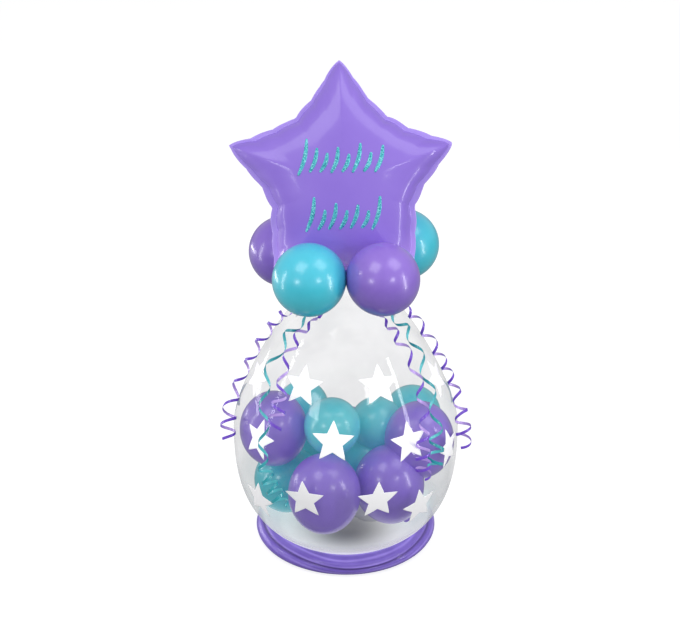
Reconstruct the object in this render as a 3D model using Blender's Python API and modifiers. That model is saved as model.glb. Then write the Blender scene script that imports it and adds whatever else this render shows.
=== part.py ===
"""Stuffing balloon: a clear balloon in a base ring, with small round balloons, a foil star and
curling ribbons tied at its neck. Metres, +Z up, front towards -Y. The origin is on the axis, at
the height of the surface that the base ring stands on.
"""

import math

import bmesh
import bpy
from mathutils import Vector

# Gaps between pieces
GAP = 0.0003
SOFT_GAP = 0.0015

# Clear balloon: a rounded lower half, and an upper half that closes in a flat dome at the neck
BALLOON_RADIUS = 0.1955
BALLOON_WIDEST = 0.219
BALLOON_BOTTOM = 0.002
BALLOON_FULLNESS = 2.75
SHOULDER_RISE = 0.059
DOME_SPREAD = 0.080
DOME_SLOPE = math.radians(9)
DOME_HEIGHT = 0.503
THROAT_RADIUS = 0.012
NECK_RADIUS = 0.009
NECK_LENGTH = 0.007
LIP_RADIUS = 0.0125
LIP_HEIGHT = 0.0065
LIP_FACE = 0.8
LIP_ROUNDING = 0.3

# Tie round the neck
TIE_WALL = 0.003
TIE_HEIGHT = 0.008

# Base ring: a soft oval tube that leans outwards, with a flat foot, pressed in by the clear balloon
RING_RADIUS = 0.138
RING_HALF_WIDTH = 0.021
RING_HALF_THICKNESS = 0.0172
RING_LEAN = math.radians(6)
RING_FOOT = 0.0015

# Small round balloons round the neck
BALL_RADIUS = 0.061
BALL_NECK_RADIUS = 0.003
BALL_NECK_ROOT = math.radians(18)
BALL_NECK_TAPER = 0.35
BALL_NECK_WAIST = 0.45
FRONT_LEFT_DEPTH = 0.078
FRONT_RIGHT_DEPTH = 0.077
FRONT_BALL_LIFT = 0.007
BACK_LEFT_SIDE = 0.106
BACK_RIGHT_SIDE = 0.099
BACK_BALL_DEPTH = 0.085
BACK_LEFT_RISE = 0.006
BACK_RIGHT_RISE = 0.019

# Foil star: five points, a flat welded rim round an inflated body, and a filling tab
STAR_POINTS = 5
STAR_RADIUS = 0.199
STAR_STRETCH = 1.035
STAR_WAIST = 0.130
STAR_BLUNT = 0.007
STAR_RIM = 0.007
STAR_FILM = 0.0012
STAR_HALF_DEPTH = 0.060
STAR_SWELL = 0.6
STAR_LEAN = math.radians(18)
STAR_ROLL = math.radians(1)
STAR_SHIFT = 0.005
STAR_DROP = 0.0065
TAB_WIDTH = 0.014
TAB_THICKNESS = 0.002
TAB_LAP = 0.012

# Curling ribbons: each is a thin tube near the tie and as wide as its curls further down
RIBBON_THIN = 0.0026
RIBBON_CURL = 0.0093
RIBBON_WIDENS_FROM = 0.070
RIBBON_WIDENS_TO = 0.125
RIBBON_STEP = 0.018
RIBBON_SIDES = 2

# Each route point: turn from the front in degrees, to the right, and way down from the throat.
# The ways are for a skin that is ROUTE_SKIN long from its throat to its widest point, and they
# grow and shrink with it.
ROUTE_SKIN = 0.3505463
RIBBON_ROUTES = {
    "ribbon_outer_left": [
        (-72, 0.004), (-70, 0.05), (-72, 0.09), (-84, 0.12), (-89, 0.16), (-90, 0.20),
        (-90, 0.23), (-90, 0.26), (-88, 0.29), (-83, 0.31), (-78, 0.33), (-75, 0.35),
    ],
    "ribbon_teal_left": [
        (-45, 0.004), (-44, 0.05), (-47, 0.09), (-55, 0.13), (-57, 0.16), (-58, 0.20),
        (-55, 0.225), (-51, 0.25), (-47, 0.275), (-45, 0.30), (-43, 0.335), (-39, 0.365),
        (-34, 0.39), (-31, 0.41),
    ],
    "ribbon_inner_left": [
        (-16, 0.004), (-21, 0.04), (-30, 0.07), (-39, 0.10), (-45, 0.13), (-46, 0.16),
        (-45, 0.19), (-42, 0.215), (-40, 0.235), (-39, 0.255), (-39, 0.28),
    ],
    "ribbon_inner_right": [
        (16, 0.004), (28, 0.05), (42, 0.085), (46, 0.11), (48, 0.135), (50, 0.16), (51, 0.185),
        (50, 0.21), (48, 0.235), (47, 0.255), (45, 0.275), (42, 0.295), (39, 0.32), (38, 0.36),
    ],
    "ribbon_teal_right": [
        (45, 0.004), (50, 0.05), (57, 0.095), (61, 0.12), (63, 0.145), (62, 0.165), (60, 0.19),
        (59, 0.21), (57, 0.235), (55, 0.26), (53, 0.28), (50, 0.305), (47, 0.33), (45, 0.355),
    ],
    "ribbon_outer_right": [
        (72, 0.004), (76, 0.05), (85, 0.09), (89, 0.125), (90, 0.16), (90, 0.19), (90, 0.23),
        (90, 0.26), (89, 0.28), (85, 0.30), (79, 0.32), (76, 0.34), (75, 0.365),
    ],
}

# Fineness of the solids
TURN_STEPS = 36
TIE_STEPS = 24
BALL_STEPS = 20
LOWER_POINTS = 12
UPPER_POINTS = 14
RING_POINTS = 20
STAR_POINTS_PER_EDGE = 5
STAR_RINGS = 6
RESTING_POINTS = 200
PATH_POINTS = 400
SHARP_ANGLE = math.radians(40)
MERGE_DISTANCE = 0.0001

# Colours and finishes: base colour, roughness, metallic, alpha
FINISHES = {
    "clear_film": ((0.90, 0.92, 0.93, 1.0), 0.08, 0.0, 0.30),
    "purple_latex": ((0.23, 0.12, 0.52, 1.0), 0.28, 0.0, 1.0),
    "teal_latex": ((0.04, 0.45, 0.55, 1.0), 0.28, 0.0, 1.0),
    "purple_wrap": ((0.20, 0.11, 0.45, 1.0), 0.30, 0.0, 1.0),
    "purple_foil": ((0.30, 0.18, 0.70, 1.0), 0.25, 0.4, 1.0),
    "purple_ribbon": ((0.25, 0.12, 0.60, 1.0), 0.30, 0.1, 1.0),
    "teal_ribbon": ((0.02, 0.38, 0.42, 1.0), 0.30, 0.1, 1.0),
}

# Places worked out from the sizes above
TIE_BOTTOM = DOME_HEIGHT + NECK_LENGTH
TIE_TOP = TIE_BOTTOM + TIE_HEIGHT
TIE_MIDDLE = (TIE_BOTTOM + TIE_TOP) / 2
TIE_INNER = NECK_RADIUS + GAP
TIE_OUTER = TIE_INNER + TIE_WALL
LIP_TOP = TIE_TOP + LIP_HEIGHT
GRIP_HEIGHT = 4 * TIE_HEIGHT
TAB_FRONT = max(LIP_RADIUS, TIE_OUTER) + SOFT_GAP
KNOT = Vector((0, 0, TIE_BOTTOM + BALL_NECK_RADIUS))
RING_WIDE = (RING_HALF_WIDTH * math.cos(RING_LEAN), RING_HALF_WIDTH * math.sin(RING_LEAN))
RING_THICK = (-RING_HALF_THICKNESS * math.sin(RING_LEAN), RING_HALF_THICKNESS * math.cos(RING_LEAN))
RING_RISE = math.hypot(RING_WIDE[1], RING_THICK[1])
RING_HEIGHT = RING_RISE - RING_FOOT


def clear_scene():
    """Removes every object that the scene starts with."""
    for old in list(bpy.data.objects):
        bpy.data.objects.remove(old, do_unlink=True)


def new_collection(name):
    """A collection of that name, linked to the scene."""
    made = bpy.data.collections.new(name)
    bpy.context.scene.collection.children.link(made)
    return made


def finish(name, slot):
    """The Principled material that an object of that name wears."""
    colour, roughness, metallic, alpha = FINISHES[slot]
    material = bpy.data.materials.new(name + "_" + slot)
    material.use_nodes = True
    shader = material.node_tree.nodes["Principled BSDF"]
    shader.inputs["Base Color"].default_value = colour
    shader.inputs["Roughness"].default_value = roughness
    shader.inputs["Metallic"].default_value = metallic
    shader.inputs["Alpha"].default_value = alpha
    return material


def add_object(name, data, collection, slot=None):
    """Links an object with that mesh or curve, with its own material if it has a slot."""
    made = bpy.data.objects.new(name, data)
    collection.objects.link(made)
    if slot is not None:
        data.materials.append(finish(name, slot))
    return made


def make_cutter(made):
    """Marks an object as a tool that shapes others and isn't part of the model."""
    made.hide_render = True
    made.display_type = "WIRE"
    return made


def add_boolean(made, other, operation):
    """Cuts another object out of this one, or joins it on."""
    step = made.modifiers.new(operation.lower() + "_" + other.name, "BOOLEAN")
    step.operation = operation
    step.solver = "EXACT"
    step.object = other


def turned(name, profile, steps, collection, slot=None):
    """A solid turned about Z from a profile of (radius, height), given from top to bottom."""
    mesh = bpy.data.meshes.new(name)
    points = [(radius, 0.0, height) for radius, height in profile]
    mesh.from_pydata(points, [(i, i + 1) for i in range(len(points) - 1)], [])
    made = add_object(name, mesh, collection, slot)
    screw = made.modifiers.new("turn", "SCREW")
    screw.axis = "Z"
    screw.steps = steps
    screw.render_steps = steps
    screw.use_merge_vertices = True
    screw.merge_threshold = MERGE_DISTANCE
    screw.use_smooth_shade = True
    return made


def bezier(points, share):
    """The point at that share of the way along a cubic Bezier curve in the (radius, height) plane."""
    weights = [math.comb(3, i) * share**i * (1 - share) ** (3 - i) for i in range(4)]
    return tuple(sum(w * p[axis] for w, p in zip(weights, points)) for axis in range(2))


def upper_skin(count):
    """Clear balloon's upper outline, from the throat down to the widest point."""
    pull = (
        THROAT_RADIUS + DOME_SPREAD * math.cos(DOME_SLOPE),
        DOME_HEIGHT - DOME_SPREAD * math.sin(DOME_SLOPE),
    )
    corners = [
        (THROAT_RADIUS, DOME_HEIGHT),
        pull,
        (BALLOON_RADIUS, BALLOON_WIDEST + SHOULDER_RISE),
        (BALLOON_RADIUS, BALLOON_WIDEST),
    ]
    return [bezier(corners, i / count) for i in range(count + 1)]


def lower_skin(count):
    """Clear balloon's lower outline: a superellipse from the widest point down to the bottom."""
    power = 2 / BALLOON_FULLNESS
    depth = BALLOON_WIDEST - BALLOON_BOTTOM
    points = []
    for i in range(1, count):
        turn = math.pi / 2 * i / count
        points.append(
            (
                BALLOON_RADIUS * math.cos(turn) ** power,
                BALLOON_WIDEST - depth * math.sin(turn) ** power,
            )
        )
    return points + [(0.0, BALLOON_BOTTOM)]


def offset_outline(points, distance):
    """The outline moved outwards by a distance, along its normals. The ends on the axis stay on it."""
    moved = []
    last = len(points) - 1
    for i, (radius, height) in enumerate(points):
        before = points[max(i - 1, 0)]
        after = points[min(i + 1, last)]
        along = Vector((after[0] - before[0], after[1] - before[1])).normalized()
        if radius == 0.0:
            moved.append((0.0, height + math.copysign(distance, i - last / 2) * -1))
        else:
            moved.append((radius - along.y * distance, height + along.x * distance))
    return moved


def balloon_outline():
    """The whole outline of the clear balloon, from the top of its lip to its bottom."""
    neck = [
        (0.0, LIP_TOP),
        (LIP_RADIUS * LIP_FACE, LIP_TOP),
        (LIP_RADIUS, LIP_TOP - LIP_HEIGHT * LIP_ROUNDING),
        (LIP_RADIUS * LIP_FACE, TIE_TOP + LIP_HEIGHT * LIP_ROUNDING),
        (NECK_RADIUS, TIE_TOP),
        (NECK_RADIUS, TIE_BOTTOM),
    ]
    return neck + upper_skin(UPPER_POINTS) + lower_skin(LOWER_POINTS)


def build_clear_balloon(parts):
    """The large clear balloon, one sealed solid with its gathered neck and lip."""
    return turned("clear_balloon", balloon_outline(), TURN_STEPS, parts, "clear_film")


def build_base_ring(parts, cutters):
    """The wrapped ring: an oval tube with a flat foot, and the seat that the clear balloon presses.
    The section runs from the inner edge of the foot, over the crest, to its outer edge."""
    crest = math.atan2(RING_THICK[1], RING_WIDE[1])
    half = math.pi - math.acos(RING_HEIGHT / RING_RISE)
    section = []
    for i in range(RING_POINTS + 1):
        turn = crest + half - 2 * half * i / RING_POINTS
        wide, thick = math.cos(turn), math.sin(turn)
        section.append(
            (
                RING_RADIUS + RING_WIDE[0] * wide + RING_THICK[0] * thick,
                RING_HEIGHT + RING_WIDE[1] * wide + RING_THICK[1] * thick,
            )
        )
    section[0] = (section[0][0], 0.0)
    section[-1] = (section[-1][0], 0.0)
    section.append(section[0])
    ring = turned("base_ring", section, TURN_STEPS, parts, "purple_wrap")
    skin = [(0.0, DOME_HEIGHT)] + upper_skin(UPPER_POINTS)[1:] + lower_skin(LOWER_POINTS)
    press = turned("ring_seat", offset_outline(skin, GAP), TURN_STEPS, cutters)
    add_boolean(ring, make_cutter(press), "DIFFERENCE")
    return ring


def build_neck_tie(parts):
    """The wound ribbon round the neck, as one short band with rounded edges."""
    bevel = TIE_WALL / 3
    section = [
        (TIE_INNER, TIE_TOP),
        (TIE_OUTER - bevel, TIE_TOP),
        (TIE_OUTER, TIE_TOP - bevel),
        (TIE_OUTER, TIE_BOTTOM + bevel),
        (TIE_OUTER - bevel, TIE_BOTTOM),
        (TIE_INNER, TIE_BOTTOM),
        (TIE_INNER, TIE_TOP),
    ]
    return turned("neck_tie", section, TIE_STEPS, parts, "purple_ribbon")


def resting_height(distance, radius):
    """Lowest centre height of a ball of that radius, that far from the axis, on the clear balloon."""
    heights = []
    for skin_radius, skin_height in upper_skin(RESTING_POINTS):
        reach = radius**2 - (distance - skin_radius) ** 2
        if reach > 0:
            heights.append(skin_height + math.sqrt(reach))
    return max(heights)


def ball_centres():
    """Where each small balloon's centre is, and its finish."""
    side = BALL_RADIUS + GAP / 2
    reach = BALL_RADIUS + FRONT_BALL_LIFT
    front_left = resting_height(math.hypot(side, FRONT_LEFT_DEPTH), reach)
    front_right = resting_height(math.hypot(side, FRONT_RIGHT_DEPTH), reach)
    back_left = DOME_HEIGHT + BACK_LEFT_RISE
    back_right = DOME_HEIGHT + BACK_RIGHT_RISE
    return {
        "ball_front_left": (Vector((-side, -FRONT_LEFT_DEPTH, front_left)), "teal_latex"),
        "ball_front_right": (Vector((side, -FRONT_RIGHT_DEPTH, front_right)), "purple_latex"),
        "ball_back_left": (Vector((-BACK_LEFT_SIDE, BACK_BALL_DEPTH, back_left)), "purple_latex"),
        "ball_back_right": (Vector((BACK_RIGHT_SIDE, BACK_BALL_DEPTH, back_right)), "teal_latex"),
    }


def ball_outline(reach):
    """A round balloon's outline, with a neck that narrows down to the given reach below its centre."""
    count = BALL_STEPS // 2 + 2
    points = [(0.0, BALL_RADIUS)]
    for i in range(1, count + 1):
        turn = (math.pi - BALL_NECK_ROOT) * i / count
        points.append((BALL_RADIUS * math.sin(turn), BALL_RADIUS * math.cos(turn)))
    root_radius, root_height = points[-1]
    waist = root_radius * BALL_NECK_TAPER + BALL_NECK_RADIUS * (1 - BALL_NECK_TAPER)
    points.append((waist, root_height * (1 - BALL_NECK_WAIST) - reach * BALL_NECK_WAIST))
    return points + [(BALL_NECK_RADIUS, -reach), (0.0, -reach)]


def place_ball(made, centre):
    """Puts a ball at its centre with its neck towards the knot in the tie."""
    made.location = centre
    made.rotation_mode = "QUATERNION"
    made.rotation_quaternion = Vector((0, 0, -1)).rotation_difference(KNOT - centre)


def neck_reach(centre):
    """Distance from a ball's centre to the knot in the tie."""
    return (KNOT - centre).length


def build_balls(parts, cutters):
    """The four small round balloons. Each neck runs to the tie and ends on its outer face."""
    grip = bpy.data.meshes.new("tie_grip")
    shape = bmesh.new()
    bmesh.ops.create_cone(
        shape,
        cap_ends=True,
        segments=TIE_STEPS,
        radius1=TIE_OUTER + GAP,
        radius2=TIE_OUTER + GAP,
        depth=GRIP_HEIGHT,
    )
    shape.to_mesh(grip)
    shape.free()
    stop = make_cutter(add_object("tie_grip", grip, cutters))
    stop.location = (0, 0, TIE_MIDDLE)
    for name, (centre, slot) in ball_centres().items():
        ball = turned(name, ball_outline(neck_reach(centre)), BALL_STEPS, parts, slot)
        place_ball(ball, centre)
        add_boolean(ball, stop, "DIFFERENCE")


def star_outline_radius(turn, inset):
    """Distance from the star's centre to its edge at that turn from a point, less the inset."""
    half = math.pi / STAR_POINTS
    within = abs((turn + half) % (2 * half) - half)
    sharp = STAR_RADIUS + STAR_BLUNT
    edge = sharp * STAR_WAIST * math.sin(half)
    edge /= sharp * math.sin(within) + STAR_WAIST * math.sin(half - within)
    return min(edge, STAR_RADIUS) - inset


def star_ring(share, inset, depth):
    """One closed ring of the star's front. Towards the centre the points fade and it becomes round."""
    count = STAR_POINTS * 2 * STAR_POINTS_PER_EDGE
    mean = (STAR_RADIUS + STAR_WAIST) / 2
    points = []
    for i in range(count):
        turn = 2 * math.pi * i / count
        edge = star_outline_radius(turn, inset)
        radius = share * (mean + (edge - mean) * share**2)
        points.append((radius * math.sin(turn), -depth, radius * math.cos(turn) * STAR_STRETCH))
    return points


def star_half_mesh():
    """The front half of the star: rim wall, flat welded rim, then rings up to the middle."""
    film = STAR_FILM / 2
    rings = [star_ring(1, 0, 0), star_ring(1, 0, film)]
    for i in range(STAR_RINGS):
        share = math.cos(math.pi / 2 * i / STAR_RINGS)
        swell = (1 - share**2) ** STAR_SWELL
        rings.append(star_ring(share, STAR_RIM, film + (STAR_HALF_DEPTH - film) * swell))
    count = len(rings[0])
    points = [point for ring in rings for point in ring] + [(0, -STAR_HALF_DEPTH, 0)]
    faces = []
    for level in range(len(rings) - 1):
        for i in range(count):
            after = (i + 1) % count
            low, high = level * count, (level + 1) * count
            faces.append((low + i, high + i, high + after, low + after))
    top = (len(rings) - 1) * count
    faces += [(top + i, len(points) - 1, top + (i + 1) % count) for i in range(count)]
    mesh = bpy.data.meshes.new("foil_star")
    mesh.from_pydata(points, [], faces)
    mesh.shade_smooth()
    mesh.set_sharp_from_angle(angle=SHARP_ANGLE)
    return mesh


def star_centre():
    """The star's centre: its lower points hang just below the dome's height, and it leans back."""
    lower = STAR_RADIUS * STAR_STRETCH * math.cos(math.pi / STAR_POINTS)
    height = DOME_HEIGHT - STAR_DROP + lower * math.cos(STAR_LEAN)
    return Vector((-STAR_SHIFT, lower * math.sin(STAR_LEAN), height))


def build_foil_star(parts, cutters):
    """The foil star, dented where the small balloons press on it, with its tab down to the tie."""
    star = add_object("foil_star", star_half_mesh(), parts, "purple_foil")
    star.location = star_centre()
    star.rotation_euler = (-STAR_LEAN, -STAR_ROLL, 0)
    mirror = star.modifiers.new("back", "MIRROR")
    mirror.use_axis = (False, True, False)
    mirror.merge_threshold = MERGE_DISTANCE
    waist = star_centre().z - STAR_WAIST * STAR_STRETCH * math.cos(STAR_LEAN)
    low, high = TIE_BOTTOM, waist + TAB_LAP
    strip = bpy.data.meshes.new("filling_tab")
    shape = bmesh.new()
    bmesh.ops.create_cube(shape, size=1)
    bmesh.ops.scale(shape, vec=(TAB_WIDTH, TAB_THICKNESS, high - low), verts=shape.verts)
    shape.to_mesh(strip)
    shape.free()
    tab = make_cutter(add_object("filling_tab", strip, cutters))
    tab.location = (0, TAB_FRONT + TAB_THICKNESS / 2, (low + high) / 2)
    add_boolean(star, tab, "UNION")
    for name, (centre, _) in ball_centres().items():
        outline = offset_outline(ball_outline(neck_reach(centre)), SOFT_GAP)
        dent = make_cutter(turned(name + "_dent", outline, BALL_STEPS, cutters))
        place_ball(dent, centre)
        add_boolean(star, dent, "DIFFERENCE")
    return star


def skin_length():
    """Way along the clear balloon's skin from its throat to its widest point."""
    points = upper_skin(PATH_POINTS)
    return sum(math.dist(before, after) for before, after in zip(points, points[1:]))


def skin_path(way):
    """Clear balloon's skin at that way down from the throat: radius, height and outward direction.
    Past the widest point a ribbon hangs straight down."""
    points = upper_skin(PATH_POINTS)
    for (r0, z0), (r1, z1) in zip(points, points[1:]):
        step = math.hypot(r1 - r0, z1 - z0)
        if way <= step:
            share = way / step
            return r0 + (r1 - r0) * share, z0 + (z1 - z0) * share, (z0 - z1) / step, (r1 - r0) / step
        way -= step
    return BALLOON_RADIUS, BALLOON_WIDEST - way, 1.0, 0.0


def ribbon_width(way):
    """Half width of a ribbon's solid: thin on the shoulder, and as wide as its curls below. The way
    is one of its route's own."""
    share = (way - RIBBON_WIDENS_FROM) / (RIBBON_WIDENS_TO - RIBBON_WIDENS_FROM)
    share = min(max(share, 0.0), 1.0)
    return RIBBON_THIN + (RIBBON_CURL - RIBBON_THIN) * share * share * (3 - 2 * share)


def ribbon_point(turn, way, growth):
    """The middle of a ribbon's solid, which lies on the skin with a soft gap. The growth is how
    much longer the skin is than the one that the routes are for."""
    radius, height, out, up = skin_path(way * growth)
    off = ribbon_width(way) + SOFT_GAP
    radius += out * off
    return Vector(
        (
            radius * math.sin(math.radians(turn)),
            -radius * math.cos(math.radians(turn)),
            height + up * off,
        )
    )


def smooth_route(route):
    """Turn and way along a smooth curve through the route's points, equal steps of way apart."""
    slopes = []
    for i in range(len(route)):
        before, after = route[max(i - 1, 0)], route[min(i + 1, len(route) - 1)]
        slopes.append((after[0] - before[0]) / (after[1] - before[1]))
    first, last = route[0][1], route[-1][1]
    count = round((last - first) / RIBBON_STEP)
    made = []
    k = 0
    for i in range(count + 1):
        way = first + (last - first) * i / count
        while k < len(route) - 2 and way > route[k + 1][1]:
            k += 1
        (turn0, way0), (turn1, way1) = route[k], route[k + 1]
        span = way1 - way0
        t = (way - way0) / span
        turn = turn0 * (1 + 2 * t) * (1 - t) ** 2 + turn1 * t * t * (3 - 2 * t)
        turn += span * t * (1 - t) * (slopes[k] * (1 - t) - slopes[k + 1] * t)
        made.append((turn, way))
    return made


def build_ribbons(parts):
    """The six curling ribbons, each a tube as wide as the ribbon's curls."""
    growth = skin_length() / ROUTE_SKIN
    for name, route in RIBBON_ROUTES.items():
        curve = bpy.data.curves.new(name, "CURVE")
        curve.dimensions = "3D"
        curve.bevel_depth = RIBBON_CURL
        curve.bevel_resolution = RIBBON_SIDES
        curve.use_fill_caps = True
        spline = curve.splines.new("POLY")
        places = smooth_route(route)
        spline.points.add(len(places) - 1)
        for point, (turn, way) in zip(spline.points, places):
            point.co = (*ribbon_point(turn, way, growth), 1)
            point.radius = ribbon_width(way) / RIBBON_CURL
        slot = "teal_ribbon" if "teal" in name else "purple_ribbon"
        add_object(name, curve, parts, slot)


def main():
    """Builds every piece of the stuffing balloon."""
    clear_scene()
    parts = new_collection("stuffing_balloon")
    cutters = new_collection("cutters")
    build_clear_balloon(parts)
    build_base_ring(parts, cutters)
    build_neck_tie(parts)
    build_balls(parts, cutters)
    build_foil_star(parts, cutters)
    build_ribbons(parts)


main()
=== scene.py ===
"""Looks of the stuffing balloon: a clear printed balloon stuffed with small ones, in a base ring,
with round balloons, a foil star and curling ribbons tied at its neck.

Every shape is a function of two parameters on a grid, or a profile carried along a path. Metres,
+Z up, front towards -Y. Turns are measured round the axis from the front, positive to the right.
"""

import logging
import math
from dataclasses import dataclass, field
from enum import Enum

import bpy
import numpy as np
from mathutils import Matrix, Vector


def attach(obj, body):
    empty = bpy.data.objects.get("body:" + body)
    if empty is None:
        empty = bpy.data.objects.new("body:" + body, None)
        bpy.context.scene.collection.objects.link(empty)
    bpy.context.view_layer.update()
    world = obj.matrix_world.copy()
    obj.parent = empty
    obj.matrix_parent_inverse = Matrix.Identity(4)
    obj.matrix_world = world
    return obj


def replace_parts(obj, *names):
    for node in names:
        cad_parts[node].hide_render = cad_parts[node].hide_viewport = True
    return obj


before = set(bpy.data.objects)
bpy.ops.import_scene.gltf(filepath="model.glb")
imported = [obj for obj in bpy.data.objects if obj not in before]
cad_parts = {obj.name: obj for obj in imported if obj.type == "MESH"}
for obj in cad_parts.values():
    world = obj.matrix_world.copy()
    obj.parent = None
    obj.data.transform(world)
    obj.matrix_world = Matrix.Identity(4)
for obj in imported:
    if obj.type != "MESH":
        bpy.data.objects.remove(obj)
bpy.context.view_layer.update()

LOG = logging.getLogger("stuffing_balloon")
BODY = "root"
FULL_TURN = 2 * math.pi
TENTH_TURN = math.pi / 5
PHASES = 6.28
MILLIMETRE = 0.001
WHITE = (1.0, 1.0, 1.0, 1.0)


class Slot(Enum):
    """The record's material slots."""

    FILM = "clear_film"
    WRAP = "purple_wrap"
    PURPLE = "purple_latex"
    TEAL = "teal_latex"
    PALE = "pale_latex"
    FOIL = "purple_foil"
    PRINT = "star_print"
    GLITTER = "teal_glitter"
    PURPLE_RIBBON = "purple_ribbon"
    TEAL_RIBBON = "teal_ribbon"


# Shader maths


class Signal:
    """One output of a node. Expressions on it add Math nodes."""

    def __init__(self, graph: "Graph", socket: bpy.types.NodeSocket) -> None:
        """Keeps the graph and the socket."""
        self.graph = graph
        self.socket = socket

    def __add__(self, other: "Signal | float") -> "Signal":
        """Sum."""
        return self.graph.maths("ADD", self, other)

    def __radd__(self, other: float) -> "Signal":
        """Sum with a number first."""
        return self.graph.maths("ADD", other, self)

    def __sub__(self, other: "Signal | float") -> "Signal":
        """Difference."""
        return self.graph.maths("SUBTRACT", self, other)

    def __rsub__(self, other: float) -> "Signal":
        """Difference with a number first."""
        return self.graph.maths("SUBTRACT", other, self)

    def __mul__(self, other: "Signal | float") -> "Signal":
        """Product."""
        return self.graph.maths("MULTIPLY", self, other)

    def __rmul__(self, other: float) -> "Signal":
        """Product with a number first."""
        return self.graph.maths("MULTIPLY", other, self)

    def __pow__(self, other: float) -> "Signal":
        """Power."""
        return self.graph.maths("POWER", self, other)


class Graph:
    """The node tree of one material."""

    def __init__(self, name: str) -> None:
        """Starts an empty tree.

        Args:
            name: the material's name.
        """
        self.material = bpy.data.materials.new(name)
        self.material.use_nodes = True
        self.tree = self.material.node_tree
        self.tree.nodes.clear()

    def node(
        self,
        kind: str,
        settings: dict[str, object] | None = None,
        inputs: dict[str | int, object] | None = None,
        output: str | int | None = 0,
    ) -> Signal | None:
        """Adds a node.

        Args:
            kind: the node's type.
            settings: its settings, which are set first. A ramp's stops are (place, colour) pairs.
            inputs: values or links of its sockets.
            output: which output is wanted, or none.

        Returns:
            That output.
        """
        made = self.tree.nodes.new(kind)
        for key, value in (settings or {}).items():
            if key == "stops":
                self.set_stops(made.color_ramp, value)
            else:
                setattr(made, key, value)
        for key, value in (inputs or {}).items():
            if isinstance(value, Signal):
                self.tree.links.new(value.socket, made.inputs[key])
            else:
                made.inputs[key].default_value = value
        return None if output is None else Signal(self, made.outputs[output])

    @staticmethod
    def set_stops(ramp: bpy.types.ColorRamp, stops: list[tuple[float, tuple]]) -> None:
        """Sets a ramp's stops.

        Args:
            ramp: the ramp.
            stops: places with their colours, first to last.
        """
        while len(ramp.elements) < len(stops):
            ramp.elements.new(1.0)
        for element, (place, colour) in zip(ramp.elements, stops):
            element.position = place
            element.color = (*colour, 1.0)

    def maths(self, operation: str, first: object, second: object = 0.0) -> Signal:
        """A Math node on two values or signals."""
        return self.node("ShaderNodeMath", {"operation": operation}, {0: first, 1: second})

    def clamped(self, value: Signal) -> Signal:
        """The signal held between 0 and 1."""
        return self.node("ShaderNodeClamp", inputs={"Value": value})

    def between(self, value: Signal, low: float, high: float) -> Signal:
        """A smooth rise from 0 at the low value to 1 at the high one.

        Args:
            value: what is read.
            low: where the rise starts.
            high: where it ends.

        Returns:
            The rise.
        """
        return self.node(
            "ShaderNodeMapRange",
            {"interpolation_type": "SMOOTHSTEP"},
            {"Value": value, "From Min": low, "From Max": high},
        )

    def mixed(self, share: object, first: object, second: object) -> Signal:
        """A colour between two.

        Args:
            share: 0 for the first colour, 1 for the second.
            first: a colour, as three numbers or a signal.
            second: likewise.

        Returns:
            The colour.
        """
        first = first if isinstance(first, Signal) else (*first, 1.0)
        second = second if isinstance(second, Signal) else (*second, 1.0)
        return self.node(
            "ShaderNodeMix",
            {"data_type": "RGBA"},
            {"Factor": share, 6: first, 7: second},
            output=2,
        )

    def place(self) -> Signal:
        """Object coordinates."""
        return self.node("ShaderNodeTexCoord", output="Object")

    def height(self) -> Signal:
        """Object coordinate Z."""
        return self.node("ShaderNodeSeparateXYZ", inputs={0: self.place()}, output="Z")

    def attribute(self, name: str) -> Signal:
        """A value that is stored on the mesh's points."""
        return self.node("ShaderNodeAttribute", {"attribute_name": name}, output="Fac")

    def noise(self, scale: float, detail: float = 2.0, vector: Signal | None = None) -> Signal:
        """Smooth noise from 0 to 1.

        Args:
            scale: cells to a metre.
            detail: octaves.
            vector: where it is read, or Object coordinates.

        Returns:
            The noise.
        """
        inputs = {"Vector": vector or self.place(), "Scale": scale, "Detail": detail}
        return self.node("ShaderNodeTexNoise", inputs=inputs)

    def bump(self, height: Signal, depth: float, strength: float = 1.0) -> Signal:
        """A normal from a height signal, where 1 stands for that depth in metres."""
        inputs = {"Height": height, "Distance": depth, "Strength": strength}
        return self.node("ShaderNodeBump", inputs=inputs)

    def principled(self, **inputs: object) -> Signal:
        """A Principled shader. Underscores in the names stand for spaces."""
        named = {key.replace("_", " "): value for key, value in inputs.items()}
        return self.node("ShaderNodeBsdfPrincipled", inputs=named)

    def mixed_shaders(self, share: object, first: Signal, second: Signal) -> Signal:
        """A Mix Shader."""
        return self.node("ShaderNodeMixShader", inputs={0: share, 1: first, 2: second})

    def finished(self, shader: Signal) -> bpy.types.Material:
        """Feeds the shader to the output, and returns the material."""
        self.node("ShaderNodeOutputMaterial", inputs={"Surface": shader}, output=None)
        return self.material


# Finishes


@dataclass(frozen=True)
class Latex:
    """Inflated latex: deep even colour with a soft gloss, and painted shade low down.

    The glow is painted light, which stands for the light that comes through the skin.
    """

    name: str
    colour: tuple[float, float, float]
    shade: tuple[float, float, float]
    roughness: float = 0.36
    coat: float = 0.85
    low: float = 0.45
    high: float = 0.60
    mottle: float = 55.0
    gloss: float = 0.20
    glow: float = 0.0

    def material(self) -> bpy.types.Material:
        """Lays out the nodes.

        Returns:
            The material.
        """
        graph = Graph(self.name)
        cloud = graph.noise(self.mottle, 3.0)
        # Painted shade: the colour falls from its own to the shade colour low down, with random
        # mottle.
        rise = graph.between(graph.height(), self.low, self.high)
        tone = graph.clamped(rise + (cloud - 0.5) * 0.35)
        colour = graph.mixed(tone, self.shade, self.colour)
        skin = graph.noise(900.0, 1.0)
        shader = graph.principled(
            Base_Color=colour,
            Roughness=self.roughness + (graph.noise(140.0) - 0.5) * 0.10,
            Coat_Weight=self.coat,
            Coat_Roughness=self.gloss,
            Emission_Color=colour,
            Emission_Strength=self.glow,
            Normal=graph.bump(skin, 0.00006, 0.35),
        )
        return graph.finished(shader)


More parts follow.
